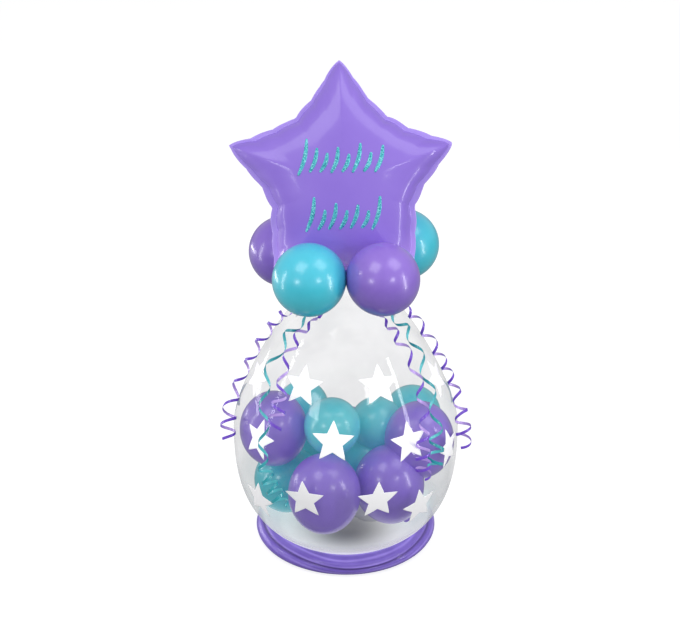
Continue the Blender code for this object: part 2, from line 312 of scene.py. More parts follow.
@dataclass(frozen=True)
class ClearFilm:
    """Clear stretched film: a faint grey veil, milky low down, where a painted glow lights it.

    The shade is 1 on the axis, where a painted shadow of the pile darkens the bottom most, and
    fades outwards. The hazy share is 1 low down at both sides, where it spreads the milky veil
    and its painted glow.
    """

    name: str = "clear_film"
    veil: tuple[float, float, float] = (0.17, 0.175, 0.185)
    low_veil: tuple[float, float, float] = (0.67, 0.67, 0.655)
    shadow: tuple[float, float, float] = (0.11, 0.11, 0.12)
    glow: float = 0.92
    base: float = 0.150
    top: float = -0.085
    bottom: float = 0.80
    edge: float = 0.03
    glance: float = 0.022
    shine: float = 0.14
    polish: float = 0.06
    milky_glow_band: tuple[float, float] = (0.026, 0.074)
    clear_band: tuple[float, float] = (0.300, 0.500)
    haziness: float = 0.32
    painted_reflection_share: float = 0.09

    def material(self) -> bpy.types.Material:
        """Lays out the nodes.

        Returns:
            The material.
        """
        graph = Graph(self.name)
        facing = graph.node("ShaderNodeLayerWeight", inputs={"Blend": 0.5}, output="Facing")
        height = graph.height()
        low = 1.0 - graph.between(height, *self.milky_glow_band)
        low = graph.clamped(low + graph.attribute("haze_and_glow") * self.haziness)
        top = graph.between(height, *self.clear_band)
        # Painted reflections: soft cloudy patches where the veil is thinner or thicker.
        painted_reflection = graph.between(graph.noise(9.0, 3.0), 0.35, 0.70)
        weight = (
            self.base
            + facing**4.0 * self.edge
            + low * self.bottom
            + top * self.top
            + (painted_reflection - 0.5) * self.painted_reflection_share
        )
        # Painted shadow of the pile on the milky bottom, which also glows with painted light.
        colour = graph.mixed(graph.attribute("shade"), self.low_veil, self.shadow)
        film = graph.principled(
            Base_Color=graph.mixed(low, self.veil, colour),
            Roughness=0.30,
            Specular_IOR_Level=0.2,
            Emission_Color=graph.mixed(low, (0.0, 0.0, 0.0), colour),
            Emission_Strength=self.glow,
        )
        inputs = {"Color": WHITE, "Roughness": self.polish}
        gloss = graph.node("ShaderNodeBsdfGlossy", inputs=inputs)
        clear = graph.node("ShaderNodeBsdfTransparent", inputs={"Color": WHITE})
        mirror = graph.clamped(self.glance + facing**5.0 * self.shine)
        window = graph.mixed_shaders(mirror, clear, gloss)
        return graph.finished(graph.mixed_shaders(graph.clamped(weight), window, film))


@dataclass(frozen=True)
class Print:
    """Opaque white ink on film, with painted shade low down and a faint painted glow."""

    name: str = "white_print"
    colour: tuple[float, float, float] = (0.99, 0.99, 1.0)
    low: tuple[float, float, float] = (0.84, 0.84, 0.85)
    painted_shade_band: tuple[float, float] = (0.150, 0.260)
    glow: float = 0.16

    def material(self) -> bpy.types.Material:
        """Lays out the nodes.

        Returns:
            The material.
        """
        graph = Graph(self.name)
        # Painted shade greys the ink low down, and a faint painted glow lights it.
        unshaded_share = graph.between(graph.height(), *self.painted_shade_band)
        grain = graph.noise(500.0, 1.0)
        shader = graph.principled(
            Base_Color=graph.mixed(unshaded_share, self.low, self.colour),
            Roughness=0.35 + grain * 0.15,
            Emission_Color=graph.mixed(unshaded_share, self.low, self.colour),
            Emission_Strength=self.glow,
            Normal=graph.bump(grain, 0.00004, 0.3),
        )
        return graph.finished(shader)


@dataclass(frozen=True)
class Foil:
    """Coated film of the star: satin shine, a paler rim, and fine crazing along the weld.

    The faint glow is painted light over the whole star, and paler low down, where the star is
    pinched between the balls and lies in their shade.
    """

    name: str = "coated_foil"
    colour: tuple[float, float, float] = (0.215, 0.128, 0.55)
    rim: tuple[float, float, float] = (0.34, 0.24, 0.68)
    deep: tuple[float, float, float] = (0.200, 0.116, 0.53)
    low_glow: tuple[float, float, float] = (0.60, 0.38, 1.0)
    pinched_band: tuple[float, float] = (0.535, 0.590)
    glow: float = 0.26

    def material(self) -> bpy.types.Material:
        """Lays out the nodes.

        Returns:
            The material.
        """
        graph = Graph(self.name)
        rim = graph.between(graph.attribute("rim"), 0.2, 0.8)
        crease = graph.attribute("crease")
        cloud = graph.noise(14.0, 3.0)
        body = graph.mixed(graph.between(cloud, 0.3, 0.7), self.deep, self.colour)
        colour = graph.mixed(rim, body, self.rim)
        hatch = graph.noise(380.0, 2.0)
        strength = graph.clamped(rim * 0.6 + crease)
        # Painted light: the glow is paler low down, where the star is pinched and shaded between
        # the balls.
        pinch = graph.between(graph.height(), *self.pinched_band)
        shader = graph.principled(
            Base_Color=colour,
            Roughness=0.44 + cloud * 0.06 + rim * 0.08,
            Coat_Weight=0.45,
            Coat_Roughness=0.12,
            Emission_Color=graph.mixed(pinch, self.low_glow, colour),
            Emission_Strength=self.glow,
            Normal=graph.bump(hatch * strength, 0.0004, 0.4),
        )
        return graph.finished(shader)


@dataclass(frozen=True)
class Glitter:
    """Glitter glue: small flakes in turquoise, each with its own tone and tilt."""

    name: str = "teal_glitter"
    colour: tuple[float, float, float] = (0.07, 0.50, 0.58)
    light: tuple[float, float, float] = (0.38, 0.86, 0.90)
    dark: tuple[float, float, float] = (0.02, 0.27, 0.36)
    flakes: float = 750.0

    def material(self) -> bpy.types.Material:
        """Lays out the nodes.

        Returns:
            The material.
        """
        graph = Graph(self.name)
        inputs = {"Vector": graph.place(), "Scale": self.flakes}
        flake = graph.node("ShaderNodeTexVoronoi", inputs=inputs, output="Color")
        tone = graph.node("ShaderNodeSeparateColor", inputs={0: flake}, output="Red")
        stops = [(0.0, self.dark), (0.35, self.colour), (0.75, self.colour), (1.0, self.light)]
        colour = graph.node("ShaderNodeValToRGB", {"stops": stops}, {"Fac": tone})
        shader = graph.principled(
            Base_Color=colour,
            Metallic=0.35,
            Roughness=0.20 + tone * 0.3,
            Normal=graph.bump(tone, 0.0004, 0.6),
        )
        return graph.finished(shader)


@dataclass(frozen=True)
class RibbonFinish:
    """Curling ribbon: a glossy face, a paler back and fine lengthwise lines."""

    name: str
    face: tuple[float, float, float]
    back: tuple[float, float, float]

    def material(self) -> bpy.types.Material:
        """Lays out the nodes.

        Returns:
            The material.
        """
        graph = Graph(self.name)
        uv = graph.node("ShaderNodeUVMap", {"uv_map": "ribbon"})
        across = graph.node("ShaderNodeSeparateXYZ", inputs={0: uv}, output="Y")
        along = graph.node("ShaderNodeSeparateXYZ", inputs={0: uv}, output="X")
        lines = graph.maths("SINE", across * 260.0)
        patch = graph.noise(9.0, 2.0, uv)
        back = graph.between(graph.attribute("back"), 0.3, 0.7)
        tint = graph.clamped(back + (patch - 0.5) * 0.5)
        wave = graph.maths("SINE", along * 9.0)
        shader = graph.principled(
            Base_Color=graph.mixed(tint, self.face, self.back),
            Roughness=0.24 + patch * 0.12 + wave * 0.02,
            Coat_Weight=0.6,
            Coat_Roughness=0.1,
            Normal=graph.bump(lines, 0.00003, 0.4),
        )
        return graph.finished(shader)


@dataclass(frozen=True)
class Wrap:
    """Base ring's latex wrap: glossy, with painted highlight streaks and painted shade in folds.
    """

    name: str = "ring_wrap"
    colour: tuple[float, float, float] = (0.185, 0.115, 0.56)
    light: tuple[float, float, float] = (0.42, 0.31, 0.93)
    deep: tuple[float, float, float] = (0.09, 0.05, 0.28)

    def material(self) -> bpy.types.Material:
        """Lays out the nodes.

        Returns:
            The material.
        """
        graph = Graph(self.name)
        cloud = graph.noise(30.0, 3.0)
        # Painted shade darkens the folds, and painted highlight streaks lighten bands along the
        # ring.
        fold = graph.attribute("fold")
        tone = graph.clamped((cloud - 0.4) * 0.6 + graph.attribute("painted_highlight") * 0.8)
        scuff = graph.noise(600.0, 2.0)
        shader = graph.principled(
            Base_Color=graph.mixed(fold, graph.mixed(tone, self.colour, self.light), self.deep),
            Roughness=0.28 + cloud * 0.12,
            Coat_Weight=0.45,
            Coat_Roughness=0.20,
            Specular_IOR_Level=0.25,
            Normal=graph.bump(scuff, 0.00008, 0.3),
        )
        return graph.finished(shader)


# Meshes


def grid_faces(rows: int, columns: int, wrap: bool = True) -> np.ndarray:
    """Quads of a grid of points, row by row.

    Args:
        rows: rows of points.
        columns: points in a row.
        wrap: whether the last column joins the first.

    Returns:
        Point numbers, four to a face.
    """
    row = np.arange(rows - 1)[:, None] * columns
    first = np.arange(columns if wrap else columns - 1)[None, :]
    after = (first + 1) % columns
    quads = np.stack([row + first, row + after, row + columns + after, row + columns + first], -1)
    return quads.reshape(-1, 4)


@dataclass
class Shell:
    """A closed skin: a grid whose rows are rings, with a point or a flat cap at each end.

    The rings may also join last to first, and then there are no caps.
    """

    rings: np.ndarray
    looped: bool = False
    values: dict[str, np.ndarray] = field(default_factory=dict)
    uv: np.ndarray | None = None

    def geometry(self) -> tuple[np.ndarray, list[list[int]]]:
        """Works out the mesh, with its faces turned outwards.

        The shell's volume is the sum over its triangles of the triple product of their corners,
        and it is positive where the faces look out.

        Returns:
            Points and faces.
        """
        rows, columns = self.rings.shape[:2]
        points = self.rings.reshape(-1, 3)
        if self.looped:
            numbers = np.arange(rows * columns).reshape(rows, columns)
            ring = np.vstack([numbers, np.arange(columns)])
            quads = np.stack(
                [ring[:-1], np.roll(ring[:-1], -1, 1), np.roll(ring[1:], -1, 1), ring[1:]], -1
            ).reshape(-1, 4)
            fans = np.zeros((0, 3), int)
        else:
            quads = grid_faces(rows, columns)
            ends = np.array([self.rings[0].mean(0), self.rings[-1].mean(0)])
            points = np.vstack([points, ends])
            first = np.arange(columns)
            after = (first + 1) % columns
            start, end = rows * columns, rows * columns + 1
            last = (rows - 1) * columns
            fans = np.vstack(
                [
                    np.stack([after, first, np.full(columns, start)], -1),
                    np.stack([last + first, last + after, np.full(columns, end)], -1),
                ]
            )
        triangles = np.vstack([quads[:, :3], quads[:, [0, 2, 3]], fans])
        a, b, c = (points[triangles[:, i]] - points.mean(0) for i in range(3))
        if np.einsum("ij,ij->", a, np.cross(b, c)) < 0:
            quads, fans = quads[:, ::-1], fans[:, ::-1]
        return points, quads.tolist() + fans.tolist()


def add_piece(
    name: str, shells: list[Shell], material: bpy.types.Material
) -> bpy.types.Object:
    """Makes one piece from closed skins, which rides on the body.

    Args:
        name: the piece's name.
        shells: its skins.
        material: its material.

    Returns:
        The object.
    """
    points, faces, start = [], [], 0
    for shell in shells:
        made, near = shell.geometry()
        points.append(made)
        faces += [[start + i for i in face] for face in near]
        start += len(made)
    mesh = bpy.data.meshes.new(name)
    mesh.from_pydata(np.vstack(points).tolist(), [], faces)
    for key in shells[0].values:
        layer = mesh.attributes.new(key, "FLOAT", "POINT")
        parts = [padded_values(s.values[key], len(p)) for s, p in zip(shells, points)]
        layer.data.foreach_set("value", np.concatenate(parts).astype(np.float32))
    if shells[0].uv is not None:
        corners = np.empty(len(mesh.loops), np.int32)
        mesh.loops.foreach_get("vertex_index", corners)
        columns = [padded_values(shells[0].uv[..., i], start) for i in range(2)]
        layer = mesh.uv_layers.new(name="ribbon")
        layer.data.foreach_set("uv", np.stack(columns, -1)[corners].astype(np.float32).ravel())
    mesh.polygons.foreach_set("use_smooth", np.ones(len(mesh.polygons), bool))
    mesh.materials.append(material)
    mesh.update()
    made = bpy.data.objects.new(name, mesh)
    bpy.context.scene.collection.objects.link(made)
    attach(made, BODY)
    LOG.info("%s: %d faces", name, len(faces))
    return made


def padded_values(values: np.ndarray, count: int) -> np.ndarray:
    """A value for each point of a shell, with those of its two end points last.

    Args:
        values: one for each point of its grid.
        count: points that the shell's mesh has.

    Returns:
        As many values as the mesh has points.
    """
    flat = values.reshape(-1)
    ends = [values[0].mean(), values[-1].mean()][: count - flat.size]
    return np.concatenate([flat, ends])


def smooth(value: np.ndarray, low: float, high: float) -> np.ndarray:
    """A smooth rise from 0 at the low value to 1 at the high one."""
    share = np.clip((value - low) / (high - low), 0.0, 1.0)
    return share * share * (3 - 2 * share)


def unit(vectors: np.ndarray) -> np.ndarray:
    """The vectors with length 1."""
    return vectors / np.maximum(np.linalg.norm(vectors, axis=-1, keepdims=True), 1e-12)


def circle(count: int) -> np.ndarray:
    """That many even turns round a circle, from 0."""
    return np.linspace(0, FULL_TURN, count, endpoint=False)


def squared(wave: np.ndarray, power: float) -> np.ndarray:
    """A sine or cosine made squarer: its size to a power below 1, with its sign."""
    return np.sign(wave) * np.abs(wave) ** power


def distances(line: np.ndarray) -> np.ndarray:
    """How far along a line each of its points is."""
    step = np.linalg.norm(np.diff(line, axis=0), axis=1)
    return np.concatenate([[0.0], np.cumsum(step)])


def off_point(around: np.ndarray) -> np.ndarray:
    """How far a turn is from a five-pointed star's nearest point."""
    return np.abs((around + TENTH_TURN) % (2 * TENTH_TURN) - TENTH_TURN)


def ripple(turn: np.ndarray, seed: int, cycles: tuple[int, ...]) -> np.ndarray:
    """An uneven wave round the axis, about -1 to 1: sines of those cycles with random phases.

    Args:
        turn: where it is read.
        seed: picks the sines' sizes and phases.
        cycles: waves to a full turn, for each sine.

    Returns:
        The wave.
    """
    random = np.random.default_rng(seed)
    total = np.zeros_like(turn)
    for count in cycles:
        total = total + random.uniform(0.6, 1.0) * np.sin(count * turn + random.uniform(0, PHASES))
    return total / len(cycles)


# Clear balloon


@dataclass
class BalloonSkin:
    """Outline of the clear balloon, as in the CAD model, read by the way down from its throat."""

    radius: float = 0.1955
    widest: float = 0.219
    bottom: float = 0.002
    fullness: float = 2.75
    shoulder_rise: float = 0.059
    dome_spread: float = 0.080
    dome_slope: float = math.radians(9)
    dome_height: float = 0.503
    throat_radius: float = 0.012
    steps: int = 1200

    def __post_init__(self) -> None:
        """Tabulates the outline: a cubic Bezier above the widest point, a superellipse below."""
        share = np.linspace(0, 1, self.steps + 1)[:, None]
        pull = (
            self.throat_radius + self.dome_spread * math.cos(self.dome_slope),
            self.dome_height - self.dome_spread * math.sin(self.dome_slope),
        )
        corners = np.array(
            [
                (self.throat_radius, self.dome_height),
                pull,
                (self.radius, self.widest + self.shoulder_rise),
                (self.radius, self.widest),
            ]
        )
        upper = sum(
            math.comb(3, i) * share**i * (1 - share) ** (3 - i) * corners[i] for i in range(4)
        )
        turn = np.linspace(0, math.pi / 2, self.steps + 1)[1:]
        power = 2 / self.fullness
        lower_radius = self.radius * np.cos(turn).clip(0) ** power
        lower_height = self.widest - (self.widest - self.bottom) * np.sin(turn) ** power
        line = np.vstack([upper, np.stack([lower_radius, lower_height], -1)])
        self.ways = distances(line)
        self.line = line
        along = unit(np.gradient(line, self.ways, axis=0))
        self.out = -along[:, 1]
        self.up = along[:, 0]
        self.widest_way = float(self.ways[self.steps])
        self.length = float(self.ways[-1])

    def at(self, way: np.ndarray) -> tuple[np.ndarray, ...]:
        """Radius, height, and the normal's outward and upward parts at a way down."""
        read = (self.line[:, 0], self.line[:, 1], self.out, self.up)
        return tuple(np.interp(way, self.ways, values) for values in read)

    def point(
        self, turn: np.ndarray, way: np.ndarray, off: np.ndarray | float = 0.0
    ) -> np.ndarray:
        """A point off the skin along its normal."""
        radius, height, out, up = self.at(way)
        return turned_point(turn, radius + out * off, height + up * off)

    def hanging(self, turn: np.ndarray, way: np.ndarray, off: np.ndarray) -> np.ndarray:
        """As point, but past the widest point it hangs straight down.

        Args:
            turn: round the axis.
            way: down from the throat.
            off: out from the skin.

        Returns:
            The points.
        """
        held = np.minimum(way, self.widest_way)
        radius, height, out, up = self.at(held)
        drop = np.maximum(way - self.widest_way, 0.0)
        out = np.where(drop > 0, 1.0, out)
        up = np.where(drop > 0, 0.0, up)
        return turned_point(turn, radius + out * off, height - drop + up * off)

    def normal(self, turn: np.ndarray, way: np.ndarray) -> np.ndarray:
        """The skin's outward normal. Past the widest point it is level."""
        _, _, out, up = self.at(np.minimum(way, self.widest_way))
        return unit(turned_point(turn, out, up))

    def inside_gap(self, points: np.ndarray) -> np.ndarray:
        """How far points are from the balloon's skin, on either side of it.

        Args:
            points: where it is read.

        Returns:
            The distances, none of them negative.
        """
        radius = np.hypot(points[:, 0], points[:, 1])
        across = radius[:, None] - self.line[None, ::6, 0]
        return np.hypot(across, points[:, 2][:, None] - self.line[None, ::6, 1]).min(1)


def turned_point(turn: np.ndarray, radius: np.ndarray, height: np.ndarray) -> np.ndarray:
    """Cylindrical to plain coordinates."""
    turn, radius, height = np.broadcast_arrays(turn, radius, height)
    return np.stack([radius * np.sin(turn), -radius * np.cos(turn), height], -1)


@dataclass
class ClearBalloon:
    """The large clear balloon with its printed stars."""

    skin: BalloonSkin
    columns: int = 256
    rows: int = 190
    neck_radius: float = 0.0086
    neck_length: float = 0.007
    tie_height: float = 0.008
    lip_radius: float = 0.0122
    lip_height: float = 0.0062
    pleat: float = 0.0016
    pleat_fade: float = 0.045
    shaded: tuple[float, float] = (0.015, 0.110)
    shade_top: float = 0.1
    hazy_height: tuple[float, float] = (0.095, 0.150)
    hazy_side: tuple[float, float] = (0.50, 0.85)
    star_radius: float = 0.0382
    star_waist: float = 0.45
    ink: float = 0.0004
    stars: tuple[tuple[float, float, float], ...] = (
        (-74, 0.334, 3), (-30, 0.359, -4), (23, 0.363, 5), (76, 0.329, -6),
        (-51, 0.254, 2), (-7, 0.282, 0), (35, 0.267, 3), (64, 0.218, -4),
        (-51, 0.136, 6), (-21, 0.173, -5), (16, 0.175, 2), (41, 0.138, -8),
        (150, 0.396, 4), (-150, 0.396, -5), (101, 0.258, 4), (-101, 0.252, -4),
        (130, 0.152, -5), (156, 0.146, 3), (-176, 0.118, -4), (-152, 0.148, 6), (-130, 0.152, -3),
        (140, 0.080, -4), (172, 0.078, 3), (-164, 0.078, -6), (-140, 0.082, 4),
    )

    def outline(self) -> tuple[np.ndarray, np.ndarray, np.ndarray]:
        """Works out the rows, from the lip's top down to the bottom.

        Returns:
            Radius, height and pleat depth of each row.
        """
        tie_bottom = self.skin.dome_height + self.neck_length
        tie_top = tie_bottom + self.tie_height
        top = tie_top + self.lip_height
        neck = np.array(
            [
                (0.0020, top - 0.0035, 0.0),
                (0.0060, top - 0.0028, 0.3),
                (self.lip_radius - 0.0026, top - 0.0004, 0.8),
                (self.lip_radius - 0.0010, top, 1.0),
                (self.lip_radius, top - 0.0008, 1.0),
                (self.lip_radius - 0.0008, top - 0.0022, 1.0),
                (self.neck_radius + 0.0008, tie_top + 0.0010, 0.6),
                (self.neck_radius, tie_top - 0.0005, 0.35),
                (self.neck_radius, tie_bottom + 0.0005, 0.35),
                (self.neck_radius + 0.0006, tie_bottom - 0.0012, 0.6),
                (self.neck_radius + 0.0015, self.skin.dome_height + 0.0020, 0.8),
            ]
        )
        share = np.linspace(0, 1, self.rows)
        way = self.skin.length * (0.35 * share**2 + 0.65 * share) * 0.9985
        radius, height, _, _ = self.skin.at(way)
        depth = np.exp(-way / self.pleat_fade)
        return (
            np.concatenate([neck[:, 0], radius]),
            np.concatenate([neck[:, 1], height]),
            np.concatenate([neck[:, 2], depth]),
        )

    def build_film(self, material: bpy.types.Material) -> bpy.types.Object:
        """The film: the outline turned round the axis, with pleats that fade below the throat.

        Args:
            material: its finish.

        Returns:
            The object.
        """
        radius, height, depth = self.outline()
        turn = circle(self.columns)[None, :]
        fold = ripple(turn, 3, (17, 23, 31)) - 0.5
        fine = ripple(turn, 5, (11, 19)) * 0.4
        drawn = radius[:, None] + depth[:, None] * self.pleat * (fold + fine)
        rings = turned_point(turn, drawn, height[:, None] + 0 * turn)
        # Painted shadow of the pile on the bottom, darkest on the axis; and low at the sides, the
        # hazy share that spreads the film's painted glow.
        shade = (1 - 0.9 * smooth(radius, *self.shaded)) * (height < self.shade_top)
        low = 1 - smooth(height, *self.hazy_height)
        haze_and_glow = smooth(np.abs(np.sin(turn)), *self.hazy_side) * low[:, None]
        values = {"shade": np.broadcast_to(shade[:, None], rings.shape[:2]), "haze_and_glow": haze_and_glow}
        made = add_piece("clear_film", [Shell(rings, values=values)], material)
        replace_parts(made, "clear_balloon")
        return made

    def star_patch(self, turn: float, way: float, tilt: float) -> Shell:
        """One printed star: a thin closed patch that lies on the skin.

        The star's edge is the straight line between a point and a waist, in polar form. The patch
        runs from its middle out over the top to the edge, and back underneath.

        Args:
            turn: of its middle.
            way: of its middle, down from the throat.
            tilt: to the right, in degrees.

        Returns:
            The patch.
        """
        around = circle(80)
        within = off_point(around)
        waist = self.star_waist
        edge = waist * math.sin(TENTH_TURN)
        edge = edge / (np.sin(within) + waist * np.sin(TENTH_TURN - within))
        edge = np.minimum(edge, 0.965) * self.star_radius
        share = np.array([0.02, 0.3, 0.55, 0.75, 0.9, 1.0, 1.0, 0.9, 0.75, 0.55, 0.3, 0.02])
        off = np.array([1.0] * 5 + [0.9] + [0.5] * 6) * self.ink
        reach = share[:, None] * edge[None, :]
        across = reach * np.sin(around + math.radians(tilt))
        above = reach * np.cos(around + math.radians(tilt))
        down = way - above
        radius = self.skin.at(down)[0]
        return Shell(self.skin.point(turn + across / radius, down, off[:, None]))

    def build_print(self, material: bpy.types.Material) -> bpy.types.Object:
        """All the printed stars. Each is given by its turn in degrees, height and tilt.

        Args:
            material: their finish.

        Returns:
            The object.
        """
        patches = []
        line = self.skin.line[::-1]
        for turn, height, tilt in self.stars:
            way = float(np.interp(height, line[:, 1], self.skin.ways[::-1]))
            patches.append(self.star_patch(math.radians(turn), way, tilt))
        return add_piece("printed_stars", patches, material)


# Round balloons


@dataclass
class TiedBalloon:
    """A small round balloon with a tapering neck, a knot and a rolled lip."""

    name: str
    centre: tuple[float, float, float]
    radius: float
    slot: Slot
    neck: tuple[float, float, float]
    neck_end: float
    columns: int = 72
    knotted: bool = True
    tall: float = 1.0
    neck_radius: float = 0.0032
    neck_power: float = 2.2
    neck_share: float = 0.62
    knot_size: float = 0.0028
    lip: tuple[tuple[float, float], ...] = (
        (0.0026, 0.0072), (0.0042, 0.0092), (0.0060, 0.0112), (0.0066, 0.0124),
        (0.0060, 0.0132), (0.0048, 0.0126), (0.0020, 0.0100),
    )

    def outline(self) -> np.ndarray:
        """Works out the outline, from the crown to the lip.

        The body is a sphere that stretches a little towards its neck. The neck's radius falls as a
        power from the body's to its own, and then the knot and the lip stand out as two rounds.

        Returns:
            Radius and distance towards the neck.
        """
        turn = np.linspace(0.03, math.pi * 0.865, 56)
        stretch = 1 + 0.10 * smooth(turn, 1.6, 3.0)
        body = np.stack([self.radius * np.sin(turn), -self.radius * np.cos(turn) * stretch], -1)
        start_radius, start = body[-1]
        thin = self.neck_radius
        room = self.neck_end - start
        share = np.linspace(0, 1, 12)[1:]
        taper = thin + (start_radius - thin) * (1 - share) ** self.neck_power
        if not self.knotted:
            return np.vstack([body, np.stack([taper, start + share * room], -1)])
        neck = np.stack([taper, start + share * room * self.neck_share], -1)
        end = neck[-1, 1]
        knot_turn = np.linspace(0.25, math.pi - 0.25, 9)
        knot_radius = thin * (1 + 0.75 * np.sin(knot_turn))
        knot_place = end + self.knot_size * (1 - np.cos(knot_turn))
        knot = np.stack([knot_radius, knot_place], -1)
        lip = np.array(self.lip)
        lip[:, 1] += end
        return np.vstack([body, neck, knot, lip])

    def build(self, material: bpy.types.Material) -> bpy.types.Object:
        """Turns the outline round the line from the centre to the neck, with gathers at the neck.

        Args:
            material: its finish.

        Returns:
            The object.
        """
        outline = self.outline()
        turn = circle(self.columns)
        axis = unit(np.array(self.neck, float))
        side = unit(np.cross(axis, (0.3, 0.1, 1.0) if abs(axis[2]) < 0.9 else (1.0, 0.2, 0.0)))
        other = np.cross(axis, side)
        seed = sum(map(ord, self.name))
        gather = smooth(outline[:, 1], self.radius * 0.86, self.radius * 1.12)
        wave = ripple(turn, seed, (9, 13, 17))
        radius = outline[:, 0, None] * (1 + 0.10 * gather[:, None] * wave[None, :])
        shape = 1 + 0.004 * ripple(turn, seed + 1, (2, 3))
        radius = radius * shape[None, :]
        spread = np.cos(turn)[:, None] * side + np.sin(turn)[:, None] * other
        rings = np.array(self.centre) + outline[:, 1, None, None] * axis
        rings = rings + radius[..., None] * spread[None]
        rings[..., 2] = self.centre[2] + (rings[..., 2] - self.centre[2]) * self.tall
        return add_piece(self.name, [Shell(rings)], material)


@dataclass
class Pile:
    """The small balloons that the clear balloon is stuffed with."""

    skin: BalloonSkin
    places: tuple[tuple[str, Slot, float, float, float, float], ...] = (
        ("inner_purple_left", Slot.PURPLE, -0.125, -0.023, 0.220, 0.0590),
        ("inner_teal_back_left", Slot.TEAL, -0.076, 0.074, 0.209, 0.0460),
        ("inner_teal_centre", Slot.TEAL, -0.0236, -0.051, 0.240, 0.0485),
        ("inner_teal_low_back", Slot.TEAL, -0.059, 0.106, 0.107, 0.0493),
        ("inner_teal_mid_right", Slot.TEAL, 0.0546, 0.014, 0.206, 0.0485),
        ("inner_teal_right_top", Slot.TEAL, 0.119, 0.076, 0.193, 0.0510),
        ("inner_purple_right", Slot.PURPLE, 0.1274, -0.034, 0.204, 0.0605),
        ("inner_teal_low_middle", Slot.TEAL, 0.029, -0.003, 0.140, 0.0480),
        ("inner_teal_low_left", Slot.TEAL, -0.104, 0.010, 0.099, 0.0580),
        ("inner_purple_front_left", Slot.PURPLE, -0.0367, -0.115, 0.1445, 0.0624),
        ("inner_purple_front_right", Slot.PURPLE, 0.075, -0.067, 0.135, 0.0612),
        ("inner_purple_low_back", Slot.PURPLE, 0.060, 0.085, 0.090, 0.0450),
        ("inner_purple_back", Slot.PURPLE, 0.010, 0.136, 0.118, 0.0450),
        ("inner_teal_back", Slot.TEAL, 0.001, 0.070, 0.160, 0.0440),
        ("inner_teal_low_right", Slot.TEAL, 0.094, 0.026, 0.090, 0.0450),
        ("inner_pale_low", Slot.PALE, 0.044, 0.010, 0.069, 0.0490),
    )

    ways: int = 300
    neck_length: float = 0.018
    neck_reach: float = 0.016
    skin_gap: float = 0.004
    behind: float = 0.060
    below: float = 0.030
    purple_tall: float = 1.15
    other_tall: float = 1.05

    def free_way(self, index: int) -> np.ndarray:
        """Picks where a balloon's neck points, out of directions spread evenly round it.

        Each neck end's score is its room to the other balloons or to the skin, whichever is less,
        and it rises with how far behind and below the balloon's middle the end is. The room to the
        skin is the distance on either side of it, so an end just outside it isn't kept out.

        Args:
            index: the balloon's number in the pile.

        Returns:
            The direction with the highest score.
        """
        step = np.arange(self.ways) + 0.5
        rise = 1 - 2 * step / self.ways
        turn = step * math.pi * (1 + math.sqrt(5))
        level = np.sqrt(1 - rise**2)
        ways = np.stack([level * np.cos(turn), level * np.sin(turn), rise], -1)
        centres = np.array([place[2:5] for place in self.places])
        radii = np.array([place[5] for place in self.places])
        tips = centres[index] + ways * (radii[index] + self.neck_reach)
        gaps = np.linalg.norm(tips[:, None] - centres[None], axis=2) - radii
        gaps[:, index] = 1.0
        room = np.minimum(gaps.min(1), self.skin.inside_gap(tips) - self.skin_gap)
        score = room + self.behind * ways[:, 1] - self.below * ways[:, 2]
        return ways[int(np.argmax(score))]

    def build(self, finishes: dict[Slot, bpy.types.Material]) -> None:
        """Every small balloon of the pile.

        Args:
            finishes: the material of each slot.
        """
        for index, (name, slot, x, y, z, radius) in enumerate(self.places):
            way = tuple(self.free_way(index))
            tall = self.purple_tall if slot is Slot.PURPLE else self.other_tall
            end = radius + self.neck_length
            made = TiedBalloon(name, (x, y, z), radius, slot, way, end, tall=tall)
            made.build(finishes[slot])


@dataclass
class NeckCluster:
    """The four round balloons at the neck, and the tie that holds them."""

    radius: float = 0.061
    knot_height: float = 0.513
    tie_inner: float = 0.0093
    tie_outer: float = 0.0123
    tie_bottom: float = 0.510
    tie_height: float = 0.008
    gap: float = 0.0003
    short: float = 0.0006
    winds: int = 4
    wind_power: float = 0.6
    balls: tuple[tuple[str, Slot, tuple[float, float, float]], ...] = (
        ("front_left", Slot.TEAL, (-0.06115, -0.078, 0.53181)),
        ("front_right", Slot.PURPLE, (0.06115, -0.077, 0.53247)),
        ("back_left", Slot.PURPLE, (-0.106, 0.085, 0.509)),
        ("back_right", Slot.TEAL, (0.099, 0.085, 0.522)),
    )

    def build_balls(self, finishes: dict[Slot, bpy.types.Material]) -> None:
        """The four balloons. Each neck runs in to the tie, and stops on its outer face.

        Args:
            finishes: the material of each slot.
        """
        knot = np.array((0.0, 0.0, self.knot_height))
        for name, slot, centre in self.balls:
            way = knot - np.array(centre)
            slope = math.hypot(way[0], way[1]) / np.linalg.norm(way)
            end = np.linalg.norm(way) - (self.tie_outer + self.gap) / slope - self.short
            ball = TiedBalloon(
                "balloon_" + name,
                centre,
                self.radius,
                slot,
                tuple(way),
                float(end),
                columns=120,
                knotted=False,
            )
            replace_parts(ball.build(finishes[slot]), "ball_" + name)

    def build_tie(self, material: bpy.types.Material) -> bpy.types.Object:
        """The wound ribbon: flat rounded turns on each other, each a little out of line.

        Args:
            material: its finish.

        Returns:
            The object.
        """
        turn = circle(96)[None, :]
        around = circle(18)[:, None]
        shells = []
        each = self.tie_height / self.winds
        wall = (self.tie_outer - self.tie_inner) / 2
        for i in range(self.winds):
            wave = 0.00025 * ripple(turn, 40 + i, (1, 2, 5))
            middle = self.tie_bottom + each * (i + 0.5) + wave
            thick = wall * (0.88 + 0.08 * ripple(turn, 60 + i, (2, 3)))
            radius = self.tie_inner + wall + thick * squared(np.cos(around), self.wind_power)
            height = middle + each * 0.46 * squared(np.sin(around), self.wind_power)
            rings = turned_point(turn, radius, height).transpose(1, 0, 2)
            back = np.zeros(rings.shape[:2])
            shells.append(Shell(rings, looped=True, values={"back": back}))
        made = add_piece("wound_tie", shells, material)
        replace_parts(made, "neck_tie")
        return made


# Foil star


